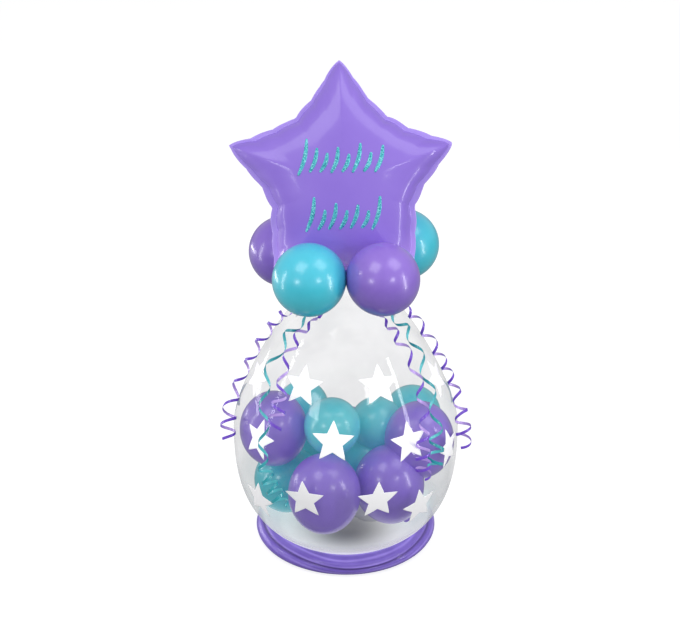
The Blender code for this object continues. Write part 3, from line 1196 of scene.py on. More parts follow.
@dataclass
class FoilStar:
    """The foil star balloon: two skins welded along a puckered rim, and pressed by the balls.

    The shaping moves the outline out or in by a bell. Its place and width are in tenths of a turn
    from the top, so even places are points and odd ones waists. The trim then moves it by so many
    millimetres at each place, with straight changes between them.
    """

    cluster: NeckCluster
    radius: float = 0.199
    stretch: float = 1.035
    waist: float = 0.130
    blunt: float = 0.0015
    rim: float = 0.0115
    film: float = 0.0006
    half_depth: float = 0.060
    lean: float = math.radians(18)
    roll: float = math.radians(1)
    centre: tuple[float, float, float] = (-0.005, 0.05149, 0.65200)
    columns: int = 480
    rows: int = 76
    rim_rows: int = 6
    scallops: float = 3.0
    shaping: tuple[tuple[float, float, float], ...] = (
        (2.55, 0.30, -0.0058), (7.45, 0.30, -0.0058), (1, 0.40, 0.0060), (9, 0.40, 0.0040),
        (5, 0.50, 0.0150), (0, 0.25, -0.0030), (2, 0.25, -0.0040),
    )
    trim: tuple[tuple[float, float], ...] = (
        (-3.2, 0), (-3, -1.5), (-2.5, -1.5), (-2.2, 1), (-2, 3.5), (-1.8, -2.5), (-1.5, -3),
        (-1.2, -4), (-1, -2.5), (-0.6, -3.6), (-0.35, -3), (-0.2, 1), (0, 2.5), (0.2, -0.5),
        (0.4, -6), (0.6, -7), (0.8, -7), (1, -5), (1.2, -6), (1.4, -7.5), (1.6, -6), (1.8, -3),
        (2, 2), (2.2, -1), (2.5, -1.5), (3, -1.5), (3.3, 0),
    )
    soft: float = 0.0036
    swell_power: float = 0.52
    scallop: float = 0.0025
    broad_crease: float = 0.10
    fine_crease: float = 0.035
    upper_edge: tuple[float, float] = (0.35, 0.75)
    upper_narrowing: float = 0.38
    tip_height: tuple[float, float] = (0.090, 0.215)
    tip_bend: float = 0.0035
    rim_wave: float = 0.0010
    soft_gap: float = 0.0008
    tab_width: float = 0.014
    tab_place: float = 0.0150
    tab_bottom: float = 0.5108
    tab_height: float = 0.0262

    def axes(self) -> np.ndarray:
        """The star's own right, back and up directions, as rows."""
        return euler_matrix((-self.lean, -self.roll, 0.0)).T

    def edge(self, around: np.ndarray) -> np.ndarray:
        """Distance from the middle to the star's outline, blunt at the points.

        The plain outline is the straight line between a point and a waist, in polar form, with a
        soft change to the points' own round. The shaping's bells and the trim are added to it.

        Args:
            around: turns in the star's plane, from its top.

        Returns:
            The distances.
        """
        within = off_point(around)
        sharp = self.radius + self.blunt
        line = sharp * self.waist * math.sin(TENTH_TURN)
        line = line / (sharp * np.sin(within) + self.waist * np.sin(TENTH_TURN - within))
        plain = -self.soft * np.logaddexp(-line / self.soft, -self.radius / self.soft)
        for place, width, amount in self.shaping:
            away = (around / TENTH_TURN - place + 5) % 10 - 5
            plain = plain + amount * np.exp(-((away / width) ** 2))
        places, amounts = np.array(self.trim).T
        return plain + MILLIMETRE * np.interp((around / TENTH_TURN + 5) % 10 - 5, places, amounts)

    def along_edge(self, around: np.ndarray) -> tuple[np.ndarray, np.ndarray]:
        """Where along its edges the star's outline is.

        Args:
            around: turns in the star's plane, from its top.

        Returns:
            Share of the way from the point to the waist, and the number of the edge, 0 to 9.
        """
        within = off_point(around)
        reach = self.edge(around)
        across = np.hypot(reach * np.sin(within), self.radius - reach * np.cos(within))
        waist_across = self.waist * math.sin(TENTH_TURN)
        full = math.hypot(waist_across, self.radius - self.waist * math.cos(TENTH_TURN))
        return np.clip(across / full, 0, 1), np.floor(around / TENTH_TURN) % 10

    def puckers(self, around: np.ndarray) -> tuple[np.ndarray, np.ndarray]:
        """Puckers round the rim: rectified cosines along each edge, which start out of step.

        Args:
            around: turns in the star's plane, from its top.

        Returns:
            Broad and fine puckers, each 0 on a swell and 1 in the crease.
        """
        share, number = self.along_edge(around)
        shift = 0.13 * np.sin(number * 2.4 + 0.7)
        broad = np.abs(np.cos(math.pi * (share * self.scallops + shift + 0.5)))
        broad = 1 - broad**0.75
        fine = 1 - np.abs(np.cos(math.pi * (share * 13 + shift * 3))) ** 0.8
        return broad, fine * smooth(share, 0.25, 0.75)

    def surface(self, share: np.ndarray, around: np.ndarray) -> tuple[np.ndarray, np.ndarray]:
        """Place in the star's plane and half depth, at a share of the way out.

        The share runs from 0 in the middle to 1 at the weld, and on to 2 at the rim's edge. The
        depth swells as a power of 1 - share squared. Creases run in from the rim and fade. The rim
        is narrower on the star's upper edges, and its top point bends to the left.

        Args:
            share: of the way out.
            around: turns in the star's plane, from its top.

        Returns:
            Places in the plane, and half depths.
        """
        body = np.minimum(share, 1.0)
        over = np.maximum(share - 1.0, 0.0)
        broad, fine = self.puckers(around)
        full = self.edge(around)
        scallop = self.scallop * broad * smooth(share, 0.75, 1.1)
        rim = self.rim * (0.55 + 0.45 * smooth(self.along_edge(around)[0], 0.0, 0.35))
        rim = rim * (1 - self.upper_narrowing * smooth(np.cos(around), *self.upper_edge))
        inner = full - rim
        mean = (self.radius + self.waist) / 2
        reach = body * (mean + (inner - mean) * body**2) + over * rim - scallop
        swell = np.clip(1 - body**2, 0, 1) ** self.swell_power
        depth = self.film + (self.half_depth - self.film) * swell
        near = smooth(body, 0.70, 0.97)
        wide = np.exp(-(((1 - body) / 0.10) ** 2))
        narrow = np.exp(-(((1 - body) / 0.05) ** 2))
        depth = depth * (1 - self.broad_crease * broad * wide * near)
        depth = depth * (1 - self.fine_crease * fine * narrow * near)
        across, up = reach * np.sin(around), reach * np.cos(around) * self.stretch
        across = across - self.tip_bend * smooth(up, *self.tip_height)
        return np.stack([across, up], -1), depth

    def bend(self, share: np.ndarray, around: np.ndarray) -> np.ndarray:
        """How far the rim waves out of the star's plane."""
        wave = ripple(around, 11, (10, 17, 23, 29))
        return self.rim_wave * wave * smooth(share, 0.9, 1.6)

    def to_world(self, local: np.ndarray) -> np.ndarray:
        """Star's own coordinates to the frame's."""
        return np.array(self.centre) + local @ self.axes()

    def pressed(self, front: np.ndarray, back: np.ndarray) -> tuple[np.ndarray, np.ndarray]:
        """Pushes the skins off the round balloons that press on them.

        Where a front balloon's disc covers a point, the skins move behind it, and where a back
        balloon's does, in front of it. The edge of each press is soft.

        Args:
            front: points of the front skin, in the star's own directions.
            back: points of the back skin.

        Returns:
            The moved points of both.
        """
        axes = self.axes()
        reach = self.cluster.radius + self.soft_gap
        for name, _, centre in self.cluster.balls:
            place = (np.array(centre) - np.array(self.centre)) @ axes.T
            for _ in range(2):
                across = np.hypot(front[..., 0] - place[0], front[..., 2] - place[2])
                inside = np.sqrt(np.clip(reach**2 - across**2, 0, None))
                covered = across < reach
                if "front" in name:
                    moved = soft_most(front[..., 1], place[1] + inside)
                    front[..., 1] = np.where(covered, moved, front[..., 1])
                    least = front[..., 1] + 2 * self.film
                    back[..., 1] = np.maximum(back[..., 1], least)
                else:
                    moved = -soft_most(-back[..., 1], inside - place[1])
                    back[..., 1] = np.where(covered, moved, back[..., 1])
                    most = back[..., 1] - 2 * self.film
                    front[..., 1] = np.minimum(front[..., 1], most)
        return front, back

    def build(self, material: bpy.types.Material) -> bpy.types.Object:
        """The star, as rings from the middle of its front, over the rim, to the middle behind.

        Args:
            material: its finish.

        Returns:
            The object.
        """
        around = circle(self.columns)[None, :]
        body = np.sin(np.linspace(0.012, 1.0, self.rows) * math.pi / 2)
        over = np.linspace(1.0, 2.0, self.rim_rows + 1)[1:]
        share = np.concatenate([body, over])[:, None]
        plane, depth = self.surface(share, around)
        wave = self.bend(share, around)
        front = np.stack([plane[..., 0], wave - depth, plane[..., 1]], -1)
        back = np.stack([plane[..., 0], wave + depth, plane[..., 1]], -1)
        front, back = self.pressed(front, back)
        rings = self.to_world(np.concatenate([front, back[::-1]]))
        broad, fine = self.puckers(around)
        rim = np.broadcast_to(smooth(share, 0.995, 1.03), depth.shape)
        crease = (broad * 0.5 + fine) * smooth(share, 0.80, 0.98)
        shares = {"rim": rim, "crease": crease}
        values = {key: np.concatenate([value, value[::-1]]) for key, value in shares.items()}
        made = add_piece("star_balloon", [Shell(rings, values=values)], material)
        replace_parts(made, "foil_star")
        return made

    def front_depth(self, plane: np.ndarray) -> np.ndarray:
        """Half depth of the star over a point of its plane, away from the rim.

        The share of the way out solves reach = share * (mean + (inner - mean) * share squared),
        by Newton's steps.

        Args:
            plane: places in the star's plane.

        Returns:
            The half depths.
        """
        around = np.arctan2(plane[..., 0], plane[..., 1] / self.stretch)
        reach = np.hypot(plane[..., 0], plane[..., 1] / self.stretch)
        mean = (self.radius + self.waist) / 2
        slope = self.edge(around) - self.rim - mean
        share = reach / mean
        for _ in range(8):
            value = share * (mean + slope * share**2) - reach
            share = share - value / (mean + 3 * slope * share**2)
        _, depth = self.surface(share, around)
        return depth

    def build_tab(self, material: bpy.types.Material) -> bpy.types.Object:
        """The filling tab: a flat crinkled strip from the star's lower waist down to the tie.

        Args:
            material: its finish.

        Returns:
            The object.
        """
        along = np.linspace(0, 1, 40)[:, None]
        around = circle(28)[None, :]
        across = squared(np.cos(around), 0.35)
        through = squared(np.sin(around), 0.35)
        width = self.tab_width / 2 * (0.86 + 0.14 * np.cos(along * 3.0 * math.pi) ** 2)
        crinkle = 0.0006 * np.sin(across * 9 + along * 7) * np.sin(along * math.pi)
        x = width * across
        y = self.tab_place + crinkle + 0.0004 * through + 0 * along
        z = self.tab_bottom + along * self.tab_height + 0 * around
        shell = Shell(np.stack(np.broadcast_arrays(x, y, z), -1))
        shell.values = {key: np.full(shell.rings.shape[:2], 0.4) for key in ("rim", "crease")}
        return add_piece("star_tab", [shell], material)


def soft_most(first: np.ndarray, second: np.ndarray, soft: float = 0.0012) -> np.ndarray:
    """The larger of two, with a rounded change from one to the other."""
    return soft * np.logaddexp(first / soft, second / soft)


def euler_matrix(turns: tuple[float, float, float]) -> np.ndarray:
    """Rotation about X, then Y, then Z, as a Blender object's rotation_euler turns it.

    Args:
        turns: the three angles.

    Returns:
        The matrix.
    """
    cx, cy, cz = (math.cos(t) for t in turns)
    sx, sy, sz = (math.sin(t) for t in turns)
    about_x = np.array([[1, 0, 0], [0, cx, -sx], [0, sx, cx]])
    about_y = np.array([[cy, 0, sy], [0, 1, 0], [-sy, 0, cy]])
    about_z = np.array([[cz, -sz, 0], [sz, cz, 0], [0, 0, 1]])
    return about_z @ about_y @ about_x


@dataclass
class GlitterRows:
    """Two rows of plain glitter strokes on the star's front."""

    star: FoilStar
    lift: float = 0.0010
    sunk: float = 0.0008
    wide: float = 0.0036
    strokes: tuple[tuple[float, float, float, float, float], ...] = (
        (-0.066, 0.046, 0.062, 14, 0.0040), (-0.048, 0.041, 0.042, 18, 0.0030),
        (-0.031, 0.037, 0.034, 22, 0.0030), (-0.013, 0.041, 0.044, 16, 0.0035),
        (0.005, 0.036, 0.032, 22, 0.0030), (0.023, 0.044, 0.050, 16, 0.0035),
        (0.041, 0.037, 0.034, 22, 0.0030), (0.060, 0.042, 0.046, 18, 0.0035),
        (-0.055, -0.049, 0.060, 14, 0.0040), (-0.036, -0.058, 0.036, 20, 0.0030),
        (-0.018, -0.052, 0.046, 16, 0.0035), (0.000, -0.058, 0.034, 22, 0.0030),
        (0.018, -0.053, 0.042, 18, 0.0030), (0.036, -0.058, 0.032, 22, 0.0030),
        (0.054, -0.048, 0.058, 14, 0.0040),
    )

    def stroke(self, x: float, z: float, length: float, turn: float, bow: float) -> Shell:
        """One stroke: a leaning line with one bow, which thins towards its ends.

        Args:
            x: its middle, to the right in the star's plane.
            z: its middle, upwards in the star's plane.
            length: from end to end.
            turn: how far it leans over to the right, in degrees.
            bow: how far it bows out.

        Returns:
            Its skin, partly sunk in the star's.
        """
        along = np.linspace(0, 1, 36)[:, None]
        around = circle(12)[None, :]
        slope = bow * math.pi / length * np.cos(along * math.pi)
        size = np.sqrt(1 + slope**2)
        off = self.wide * (0.45 + 0.55 * np.sin(along * math.pi) ** 0.6) * np.cos(around)
        up = (along - 0.5) * length - off * slope / size
        side = bow * np.sin(along * math.pi) + off / size
        lean_x, lean_z = math.sin(math.radians(turn)), math.cos(math.radians(turn))
        plane = np.stack([x + up * lean_x + side * lean_z, z + up * lean_z - side * lean_x], -1)
        lift = np.where(np.sin(around) > 0, self.lift, self.sunk) * np.sin(around)
        depth = self.star.front_depth(plane) + lift
        local = np.stack([plane[..., 0], -depth, plane[..., 1]], -1)
        return Shell(self.star.to_world(local))

    def build(self, material: bpy.types.Material) -> bpy.types.Object:
        """Every stroke."""
        shells = [self.stroke(*stroke) for stroke in self.strokes]
        return add_piece("glitter_strokes", shells, material)


# Base ring


@dataclass
class BaseRing:
    """The wrapped ring: a soft oval tube that leans out, with a flat foot and long folds.

    A point of its section is the middle, plus wide times the cosine and thick times the sine of
    an angle. The main fold's angle is given at turns round the ring.
    """

    skin: BalloonSkin
    middle: tuple[float, float] = (0.138, 0.01575)
    wide: tuple[float, float] = (0.02088, 0.00220)
    thick: tuple[float, float] = (-0.00180, 0.01711)
    gap: float = 0.0006
    main_depth: float = 0.13
    main_width: float = 0.14
    columns: int = 540
    section: int = 150
    main_fold: tuple[tuple[float, float], ...] = (
        (-180, 64), (-110, 63), (-76, 58), (-36, 34), (-13, 8), (2, -6), (26, 4), (55, 40),
        (90, 60), (180, 64),
    )
    folds: tuple[tuple[float, float, float], ...] = (
        (22.0, 0.0011, 0.10), (44.0, 0.0007, 0.08), (-30.0, 0.0005, 0.10), (-75.0, 0.0007, 0.10),
        (140.0, 0.0010, 0.12),
    )

    def fold_angle(self, turn: np.ndarray) -> np.ndarray:
        """The main fold's angle in the section, with its corners smoothed.

        Args:
            turn: even turns round the ring.

        Returns:
            The angle at each.
        """
        places = np.array(self.main_fold, float)
        plain = np.interp(np.degrees(turn), places[:, 0], places[:, 1])
        window = np.hanning(61)
        padded = np.concatenate([plain[-30:], plain, plain[:30]])
        return np.radians(np.convolve(padded, window / window.sum(), "valid"))

    def build(self, material: bpy.types.Material) -> bpy.types.Object:
        """The ring, with its folds cut in, its foot flat and its seat pressed by the balloon.

        Each fold is a narrow bell in the section's angle, which wanders along the ring.

        Args:
            material: its finish.

        Returns:
            The object.
        """
        turn = np.linspace(-math.pi, math.pi, self.columns, endpoint=False)
        main = self.fold_angle(turn)[:, None]
        turn = turn[:, None]
        angle = circle(self.section)[None, :]
        size = 1 + 0.012 * ripple(turn, 33, (5, 9, 14)) * np.cos(2 * angle)
        fold = self.bell(angle - main, self.main_width)
        size = size - self.main_depth * fold * (0.9 + 0.2 * ripple(turn, 90, (2, 3, 7)))
        size = size + 0.05 * self.bell(angle - main - 0.32, 0.20)
        for index, (degrees, depth, width) in enumerate(self.folds):
            wander = 0.12 * ripple(turn, 70 + index, (1, 3, 5, 8))
            bell = self.bell(angle - main - math.radians(degrees) - wander, width)
            strength = np.clip(0.6 + 0.7 * ripple(turn, 91 + index, (2, 3, 7)), 0, 1)
            size = size - depth / 0.020 * strength * bell
            fold = fold + bell * strength * depth / 0.004
        across, up = size * np.cos(angle), size * np.sin(angle)
        radius = self.middle[0] + self.wide[0] * across + self.thick[0] * up
        height = np.maximum(self.middle[1] + self.wide[1] * across + self.thick[1] * up, 0.0)
        radius, height = self.seated(radius, height)
        rings = turned_point(turn + 0 * angle, radius, height)
        # Painted highlight streaks in bands along the ring; the fold mask also carries the painted
        # shade of the folds.
        bands = 9 * (angle - main) + 2.2 * ripple(turn, 120, (1, 2, 4, 7))
        painted_highlight = (0.5 + 0.5 * np.sin(bands)) ** 3 * (0.8 + 0.4 * ripple(turn, 121, (3, 5, 9, 13)))
        values = {"fold": np.clip(fold, 0, 1), "painted_highlight": np.clip(painted_highlight, 0, 1)}
        shell = Shell(rings, looped=True, values=values)
        made = add_piece("wrapped_ring", [shell], material)
        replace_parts(made, "base_ring")
        return made

    @staticmethod
    def bell(away: np.ndarray, width: float) -> np.ndarray:
        """A bell of that width in an angle, 1 in its middle."""
        return np.exp(-((((away + math.pi) % FULL_TURN - math.pi) / width) ** 2))

    def seated(self, radius: np.ndarray, height: np.ndarray) -> tuple[np.ndarray, np.ndarray]:
        """Moves what lies in the clear balloon out along its normal.

        Args:
            radius: of the ring's points.
            height: of the ring's points.

        Returns:
            The moved radii and heights.
        """
        line = self.skin.line[::3]
        out, up = self.skin.out[::3], self.skin.up[::3]
        flat = np.stack([radius.ravel(), height.ravel()], -1)
        near = np.empty(len(flat), int)
        batch = 8000
        for start in range(0, len(flat), batch):
            part = flat[start : start + batch]
            away = np.hypot(part[:, None, 0] - line[:, 0], part[:, None, 1] - line[:, 1])
            near[start : start + batch] = away.argmin(1)
        off = (flat[:, 0] - line[near, 0]) * out[near] + (flat[:, 1] - line[near, 1]) * up[near]
        push = np.maximum(self.gap - off, 0)
        moved_radius = flat[:, 0] + push * out[near]
        moved_height = np.maximum(flat[:, 1] + push * up[near], 0.0)
        return moved_radius.reshape(radius.shape), moved_height.reshape(height.shape)


# Curling ribbons


@dataclass
class CurlingRibbon:
    """A flat ribbon that winds round its route as a helix, and hangs from the tie.

    Its route's points are a turn in degrees and a way down from the throat, as in the CAD model.
    Its last curls are wider than the CAD model's tube, by the loop.
    """

    name: str
    node: str
    slot: Slot
    route: tuple[tuple[float, float], ...]
    start_turn: float
    skin: BalloonSkin
    handed: int = 1
    tight_top: bool = False
    width: float = 0.005
    thickness: float = 0.00030
    thin: float = 0.0026
    curl: float = 0.0093
    loop: float = 0.0035
    loop_starts: float = 0.085
    loop_full: float = 0.030
    widens: tuple[float, float] = (0.070, 0.125)
    curls: tuple[float, float] = (0.030, 0.115)
    soft_gap: float = 0.0015
    long_pitch: float = 0.044
    end_pitch: float = 0.0235
    end_share: float = 0.20
    teal_pitch: float = 1.3
    tightening: float = 0.012
    tightest: tuple[float, float] = (0.118, 0.028)
    step: float = 0.0016
    corners: int = 12

    def turns_at(self, way: np.ndarray) -> np.ndarray:
        """The route's turn at a way: cubic Hermite pieces with slopes from the neighbours.

        Args:
            way: down from the throat.

        Returns:
            The turn at each.
        """
        points = np.array(self.route)
        turn, down = np.radians(points[:, 0]), points[:, 1]
        number = np.arange(len(down))
        before = np.maximum(number - 1, 0)
        after = np.minimum(number + 1, len(down) - 1)
        slope = (turn[after] - turn[before]) / (down[after] - down[before])
        k = np.clip(np.searchsorted(down, way, side="left") - 1, 0, len(down) - 2)
        span = down[k + 1] - down[k]
        t = (way - down[k]) / span
        made = turn[k] * (1 + 2 * t) * (1 - t) ** 2 + turn[k + 1] * t * t * (3 - 2 * t)
        return made + span * t * (1 - t) * (slope[k] * (1 - t) - slope[k + 1] * t)

    def path(self) -> tuple[np.ndarray, np.ndarray]:
        """Works out the helix, with an uneven pitch that shortens towards its end.

        Returns:
            The ribbon's middle line, and the direction that its face looks in.
        """
        first, last = self.route[0][1], self.route[-1][1]
        way = np.linspace(first, last, 4001)
        turn = self.turns_at(way)
        room = self.thin + (self.curl - self.thin) * smooth(way, *self.widens)
        room = room + self.loop * smooth(way, last - self.loop_starts, last - self.loop_full)
        axis = self.skin.hanging(turn, way, room + self.soft_gap)
        out = self.skin.normal(turn, way)
        run = distances(axis)
        along = unit(np.gradient(axis, run, axis=0))
        out = unit(out - along * np.sum(out * along, -1, keepdims=True))
        side = np.cross(along, out)
        left = run[-1] - run
        end = 1 - smooth(left, 0.03, run[-1] * self.end_share + 0.03)
        random = np.random.default_rng(sum(map(ord, self.name)))
        uneven = 1 + 0.22 * np.sin(run / 0.055 + random.uniform(0, PHASES))
        uneven = uneven + 0.10 * np.sin(run / 0.023)
        lazy = self.teal_pitch if self.slot is Slot.TEAL_RIBBON else 1.0
        pitch = (self.long_pitch * lazy + (self.end_pitch - self.long_pitch * lazy) * end) * uneven
        if self.tight_top:
            place, spread = self.tightest
            pitch = pitch - self.tightening * np.exp(-(((way - place) / spread) ** 2))
        phase = self.start_turn + self.handed * np.cumsum(np.gradient(run) / pitch) * FULL_TURN
        reach = (room - self.thickness) * smooth(way, *self.curls)
        dip = 0.12 * np.sin(run / 0.037 + random.uniform(0, PHASES)) ** 2
        reach = reach * (1 - dip * (1 - end)) * (1 + 0.07 * end)
        radial = np.cos(phase)[:, None] * out + np.sin(phase)[:, None] * side
        line = axis + radial * reach[:, None]
        curled = smooth(reach, 0.0004, 0.0040)[:, None]
        look = unit(out * (1 - curled) + radial * curled)
        return line, look

    def build(self, material: bpy.types.Material, exit_point: np.ndarray) -> bpy.types.Object:
        """Args:
            material: its finish.
            exit_point: where it leaves the tie. Not used.

        Returns:
            The object.
        """
        fine, look = self.path()
        run = distances(fine)
        count = int(run[-1] / self.step)
        at = np.linspace(0, run[-1], count)
        line = np.stack([np.interp(at, run, fine[:, i]) for i in range(3)], -1)
        look = np.stack([np.interp(at, run, look[:, i]) for i in range(3)], -1)
        along = unit(np.gradient(line, axis=0))
        face = unit(look - along * np.sum(look * along, -1, keepdims=True))
        across = np.cross(along, face)
        around = circle(self.corners)
        u = squared(np.cos(around), 0.5) * self.width / 2
        v = squared(np.sin(around), 0.5) * self.thickness / 2
        rings = line[:, None] + across[:, None] * u[None, :, None]
        rings = rings + face[:, None] * v[None, :, None]
        back = np.broadcast_to((np.sin(around) < 0).astype(float), (count, self.corners))
        sides = np.broadcast_arrays(at[:, None] / self.width, u[None, :] / self.width + 0.5)
        shell = Shell(rings, values={"back": back}, uv=np.stack(sides, -1))
        made = add_piece(self.name, [shell], material)
        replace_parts(made, self.node)
        return made


RIBBON_ROUTES = {
    "outer_left": (
        (-72, 0.004), (-70, 0.05), (-72, 0.09), (-84, 0.12), (-89, 0.16), (-90, 0.20),
        (-90, 0.23), (-90, 0.26), (-88, 0.29), (-83, 0.31), (-78, 0.33), (-75, 0.35),
    ),
    "teal_left": (
        (-45, 0.004), (-44, 0.05), (-47, 0.09), (-55, 0.13), (-57, 0.16), (-58, 0.20),
        (-55, 0.225), (-51, 0.25), (-47, 0.275), (-45, 0.30), (-43, 0.335), (-39, 0.365),
        (-34, 0.39), (-31, 0.41),
    ),
    "inner_left": (
        (-16, 0.004), (-21, 0.04), (-30, 0.07), (-39, 0.10), (-45, 0.13), (-46, 0.16),
        (-45, 0.19), (-42, 0.215), (-40, 0.235), (-39, 0.255), (-39, 0.28),
    ),
    "inner_right": (
        (16, 0.004), (28, 0.05), (42, 0.085), (46, 0.11), (48, 0.135), (50, 0.16), (51, 0.185),
        (50, 0.21), (48, 0.235), (47, 0.255), (45, 0.275), (42, 0.295), (39, 0.32), (38, 0.36),
    ),
    "teal_right": (
        (45, 0.004), (50, 0.05), (57, 0.095), (61, 0.12), (63, 0.145), (62, 0.165), (60, 0.19),
        (59, 0.21), (57, 0.235), (55, 0.26), (53, 0.28), (50, 0.305), (47, 0.33), (45, 0.355),
    ),
    "outer_right": (
        (72, 0.004), (76, 0.05), (85, 0.09), (89, 0.125), (90, 0.16), (90, 0.19), (90, 0.23),
        (90, 0.26), (89, 0.28), (85, 0.30), (79, 0.32), (76, 0.34), (75, 0.365),
    ),
}


# Room, lamps and camera


@dataclass
class Studio:
    """White room with soft lamps, and the camera at the photograph's angle."""

    elevation: float = math.radians(26.5)
    distance: float = 3.5
    target: tuple[float, float, float] = (-0.010, 0.0, 0.4285)
    frame_width: float = 1.156
    world: float = 0.53
    aim: tuple[float, float, float] = (0, 0, 0.35)
    floor_half: float = 12.0
    floor_drop: float = 0.0005
    lamps: tuple[tuple[str, tuple, tuple, float], ...] = (
        ("lamp_top_left", (-0.75, -0.80, 2.15), (1.0, 1.0), 9.5),
        ("lamp_top_right", (0.95, -0.35, 2.05), (1.0, 1.0), 8.0),
        ("lamp_strip_right", (1.72, -0.72, 0.62), (0.13, 1.25), 9.0),
        ("lamp_strip_left", (-1.60, -0.20, 0.55), (0.14, 1.2), 5.0),
        ("lamp_low_left", (-1.65, 0.85, 0.22), (1.05, 0.12), 4.5),
        ("softbox_left", (-1.20, -1.63, 1.03), (0.42, 0.28), 4.2),
        ("softbox_right", (1.00, -1.68, 1.22), (0.42, 0.28), 4.2),
    )

    def build_camera(self) -> None:
        """The camera, which looks down at the object from the front."""
        back = Vector((0, -math.cos(self.elevation), math.sin(self.elevation)))
        data = bpy.data.cameras.new("camera")
        data.sensor_width = 36.0
        data.lens = data.sensor_width * self.distance / self.frame_width
        made = bpy.data.objects.new("camera", data)
        made.location = Vector(self.target) + back * self.distance
        made.rotation_mode = "QUATERNION"
        made.rotation_quaternion = (-back).to_track_quat("-Z", "Y")
        bpy.context.scene.collection.objects.link(made)
        bpy.context.scene.camera = made

    def build_lamps(self) -> None:
        """Area lamps that look at the object, and a white world that is dimmer as a lamp."""
        aim = Vector(self.aim)
        for name, place, size, power in self.lamps:
            data = bpy.data.lights.new(name, "AREA")
            data.shape = "RECTANGLE"
            data.size, data.size_y = size
            data.energy = power
            made = bpy.data.objects.new(name, data)
            made.location = place
            made.rotation_mode = "QUATERNION"
            made.rotation_quaternion = (aim - Vector(place)).to_track_quat("-Z", "Y")
            bpy.context.scene.collection.objects.link(made)
        world = bpy.data.worlds.new("white_room")
        world.use_nodes = True
        tree = world.node_tree
        lit = tree.nodes["Background"]
        lit.inputs["Color"].default_value = WHITE
        lit.inputs["Strength"].default_value = self.world
        seen = tree.nodes.new("ShaderNodeBackground")
        seen.inputs["Color"].default_value = WHITE
        seen.inputs["Strength"].default_value = 1.0
        path = tree.nodes.new("ShaderNodeLightPath")
        mix = tree.nodes.new("ShaderNodeMixShader")
        tree.links.new(path.outputs["Is Camera Ray"], mix.inputs[0])
        tree.links.new(lit.outputs[0], mix.inputs[1])
        tree.links.new(seen.outputs[0], mix.inputs[2])
        tree.links.new(mix.outputs[0], tree.nodes["World Output"].inputs["Surface"])
        bpy.context.scene.world = world
        bpy.context.scene.view_settings.view_transform = "Standard"

    def build_floor(self) -> None:
        """A pale floor, wide enough to fill the view."""
        mesh = bpy.data.meshes.new("floor")
        half = self.floor_half
        corners = [(-half, -half, 0), (half, -half, 0), (half, half, 0), (-half, half, 0)]
        mesh.from_pydata(corners, [], [(0, 1, 2, 3)])
        graph = Graph("pale_floor")
        grain = graph.noise(3.0, 2.0)
        seen = graph.principled(
            Base_Color=graph.mixed(grain, (0.34, 0.34, 0.345), (0.36, 0.36, 0.36)),
            Roughness=0.9,
            Specular_IOR_Level=0.0,
            Emission_Color=WHITE,
            Emission_Strength=0.80,
        )
        dim = graph.principled(Base_Color=(0.42, 0.42, 0.43, 1.0), Roughness=0.9)
        camera = graph.node("ShaderNodeLightPath", output="Is Camera Ray")
        mesh.materials.append(graph.finished(graph.mixed_shaders(camera, dim, seen)))
        made = bpy.data.objects.new("floor", mesh)
        made.location.z = -self.floor_drop
        bpy.context.scene.collection.objects.link(made)


def ribbons(skin: BalloonSkin) -> list[CurlingRibbon]:
    """The six ribbons.

    Args:
        skin: the clear balloon's outline, which they lie on.

    Returns:
        The ribbons, left to right.
    """
    facts = (
        ("outer_left", Slot.PURPLE_RIBBON, 0.4, 1, False),
        ("teal_left", Slot.TEAL_RIBBON, 2.1, 1, False),
        ("inner_left", Slot.PURPLE_RIBBON, 4.0, -1, False),
        ("inner_right", Slot.PURPLE_RIBBON, 1.2, 1, True),
        ("teal_right", Slot.TEAL_RIBBON, 3.3, -1, False),
        ("outer_right", Slot.PURPLE_RIBBON, 5.0, 1, True),
    )
    return [
        CurlingRibbon(
            "curl_" + name, "ribbon_" + name, slot, RIBBON_ROUTES[name], start, skin, handed, tight
        )
        for name, slot, start, handed, tight in facts
    ]


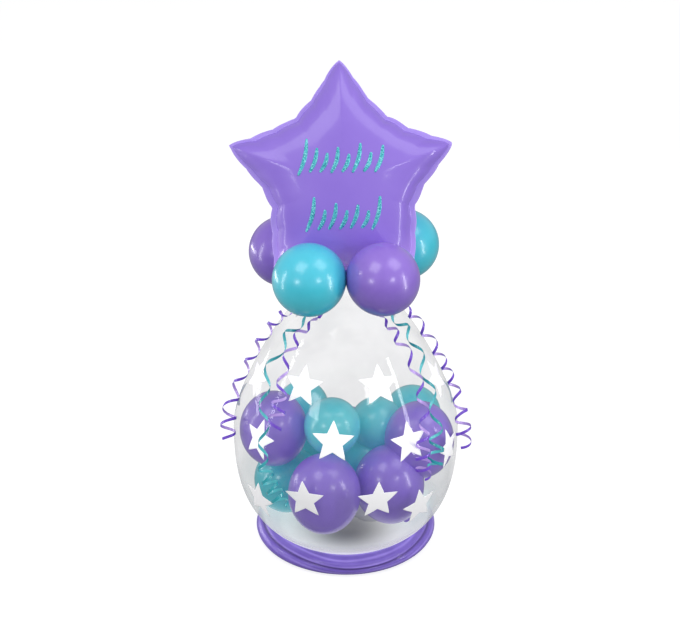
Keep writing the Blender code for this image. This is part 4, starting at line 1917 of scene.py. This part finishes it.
def tied_finishes() -> dict[Slot, bpy.types.Material]:
    """Finishes of the ribbons and the balloons at the neck, and of the pale one in the pile.

    Returns:
        The material of each slot.
    """
    made = {
        Slot.PURPLE: Latex("purple_latex", (0.285, 0.160, 0.68), (0.14, 0.072, 0.43)),
        Slot.TEAL: Latex("teal_latex", (0.060, 0.58, 0.76), (0.004, 0.46, 0.53)),
        Slot.PALE: Latex("pale_latex", (0.60, 0.60, 0.63), (0.50, 0.50, 0.53)),
        Slot.PURPLE_RIBBON: RibbonFinish("purple_ribbon", (0.16, 0.055, 0.62), (0.55, 0.38, 0.88)),
        Slot.TEAL_RIBBON: RibbonFinish("teal_ribbon", (0.010, 0.33, 0.39), (0.10, 0.60, 0.66)),
    }
    return {slot: finish.material() for slot, finish in made.items()}


def pile_finishes(pale: bpy.types.Material) -> dict[Slot, bpy.types.Material]:
    """Finishes of the pile, which is lit less and shows paler through the film.

    Args:
        pale: the pale balloon's.

    Returns:
        The material of each slot.
    """
    # Painted light: the pile's balloons glow a little, and their painted shade is set to the
    # pile's lower heights.
    shared = {"low": 0.08, "high": 0.28, "glow": 0.13}
    purple = Latex("inner_purple_latex", (0.27, 0.175, 0.68), (0.20, 0.115, 0.57), **shared)
    teal = Latex("inner_teal_latex", (0.11, 0.64, 0.71), (0.04, 0.50, 0.57), **shared)
    return {Slot.PURPLE: purple.material(), Slot.TEAL: teal.material(), Slot.PALE: pale}


def main() -> None:
    """Builds the room, the camera, the ribbons and every other piece."""
    logging.basicConfig(level=logging.INFO, format="%(message)s")
    studio = Studio()
    studio.build_camera()
    studio.build_lamps()
    studio.build_floor()
    finishes = tied_finishes()
    inner = pile_finishes(finishes[Slot.PALE])
    skin = BalloonSkin()
    for ribbon in ribbons(skin):
        start = ribbon.path()[0][0]
        ribbon.build(finishes[ribbon.slot], start)
    cluster = NeckCluster()
    cluster.build_tie(finishes[Slot.PURPLE_RIBBON])
    cluster.build_balls(finishes)
    star = FoilStar(cluster)
    foil = Foil().material()
    star.build(foil)
    star.build_tab(foil)
    GlitterRows(star).build(Glitter().material())
    balloon = ClearBalloon(skin)
    balloon.build_film(ClearFilm().material())
    balloon.build_print(Print().material())
    Pile(skin).build(inner)
    BaseRing(skin).build(Wrap().material())
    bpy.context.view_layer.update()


if __name__ == "__main__":
    main()
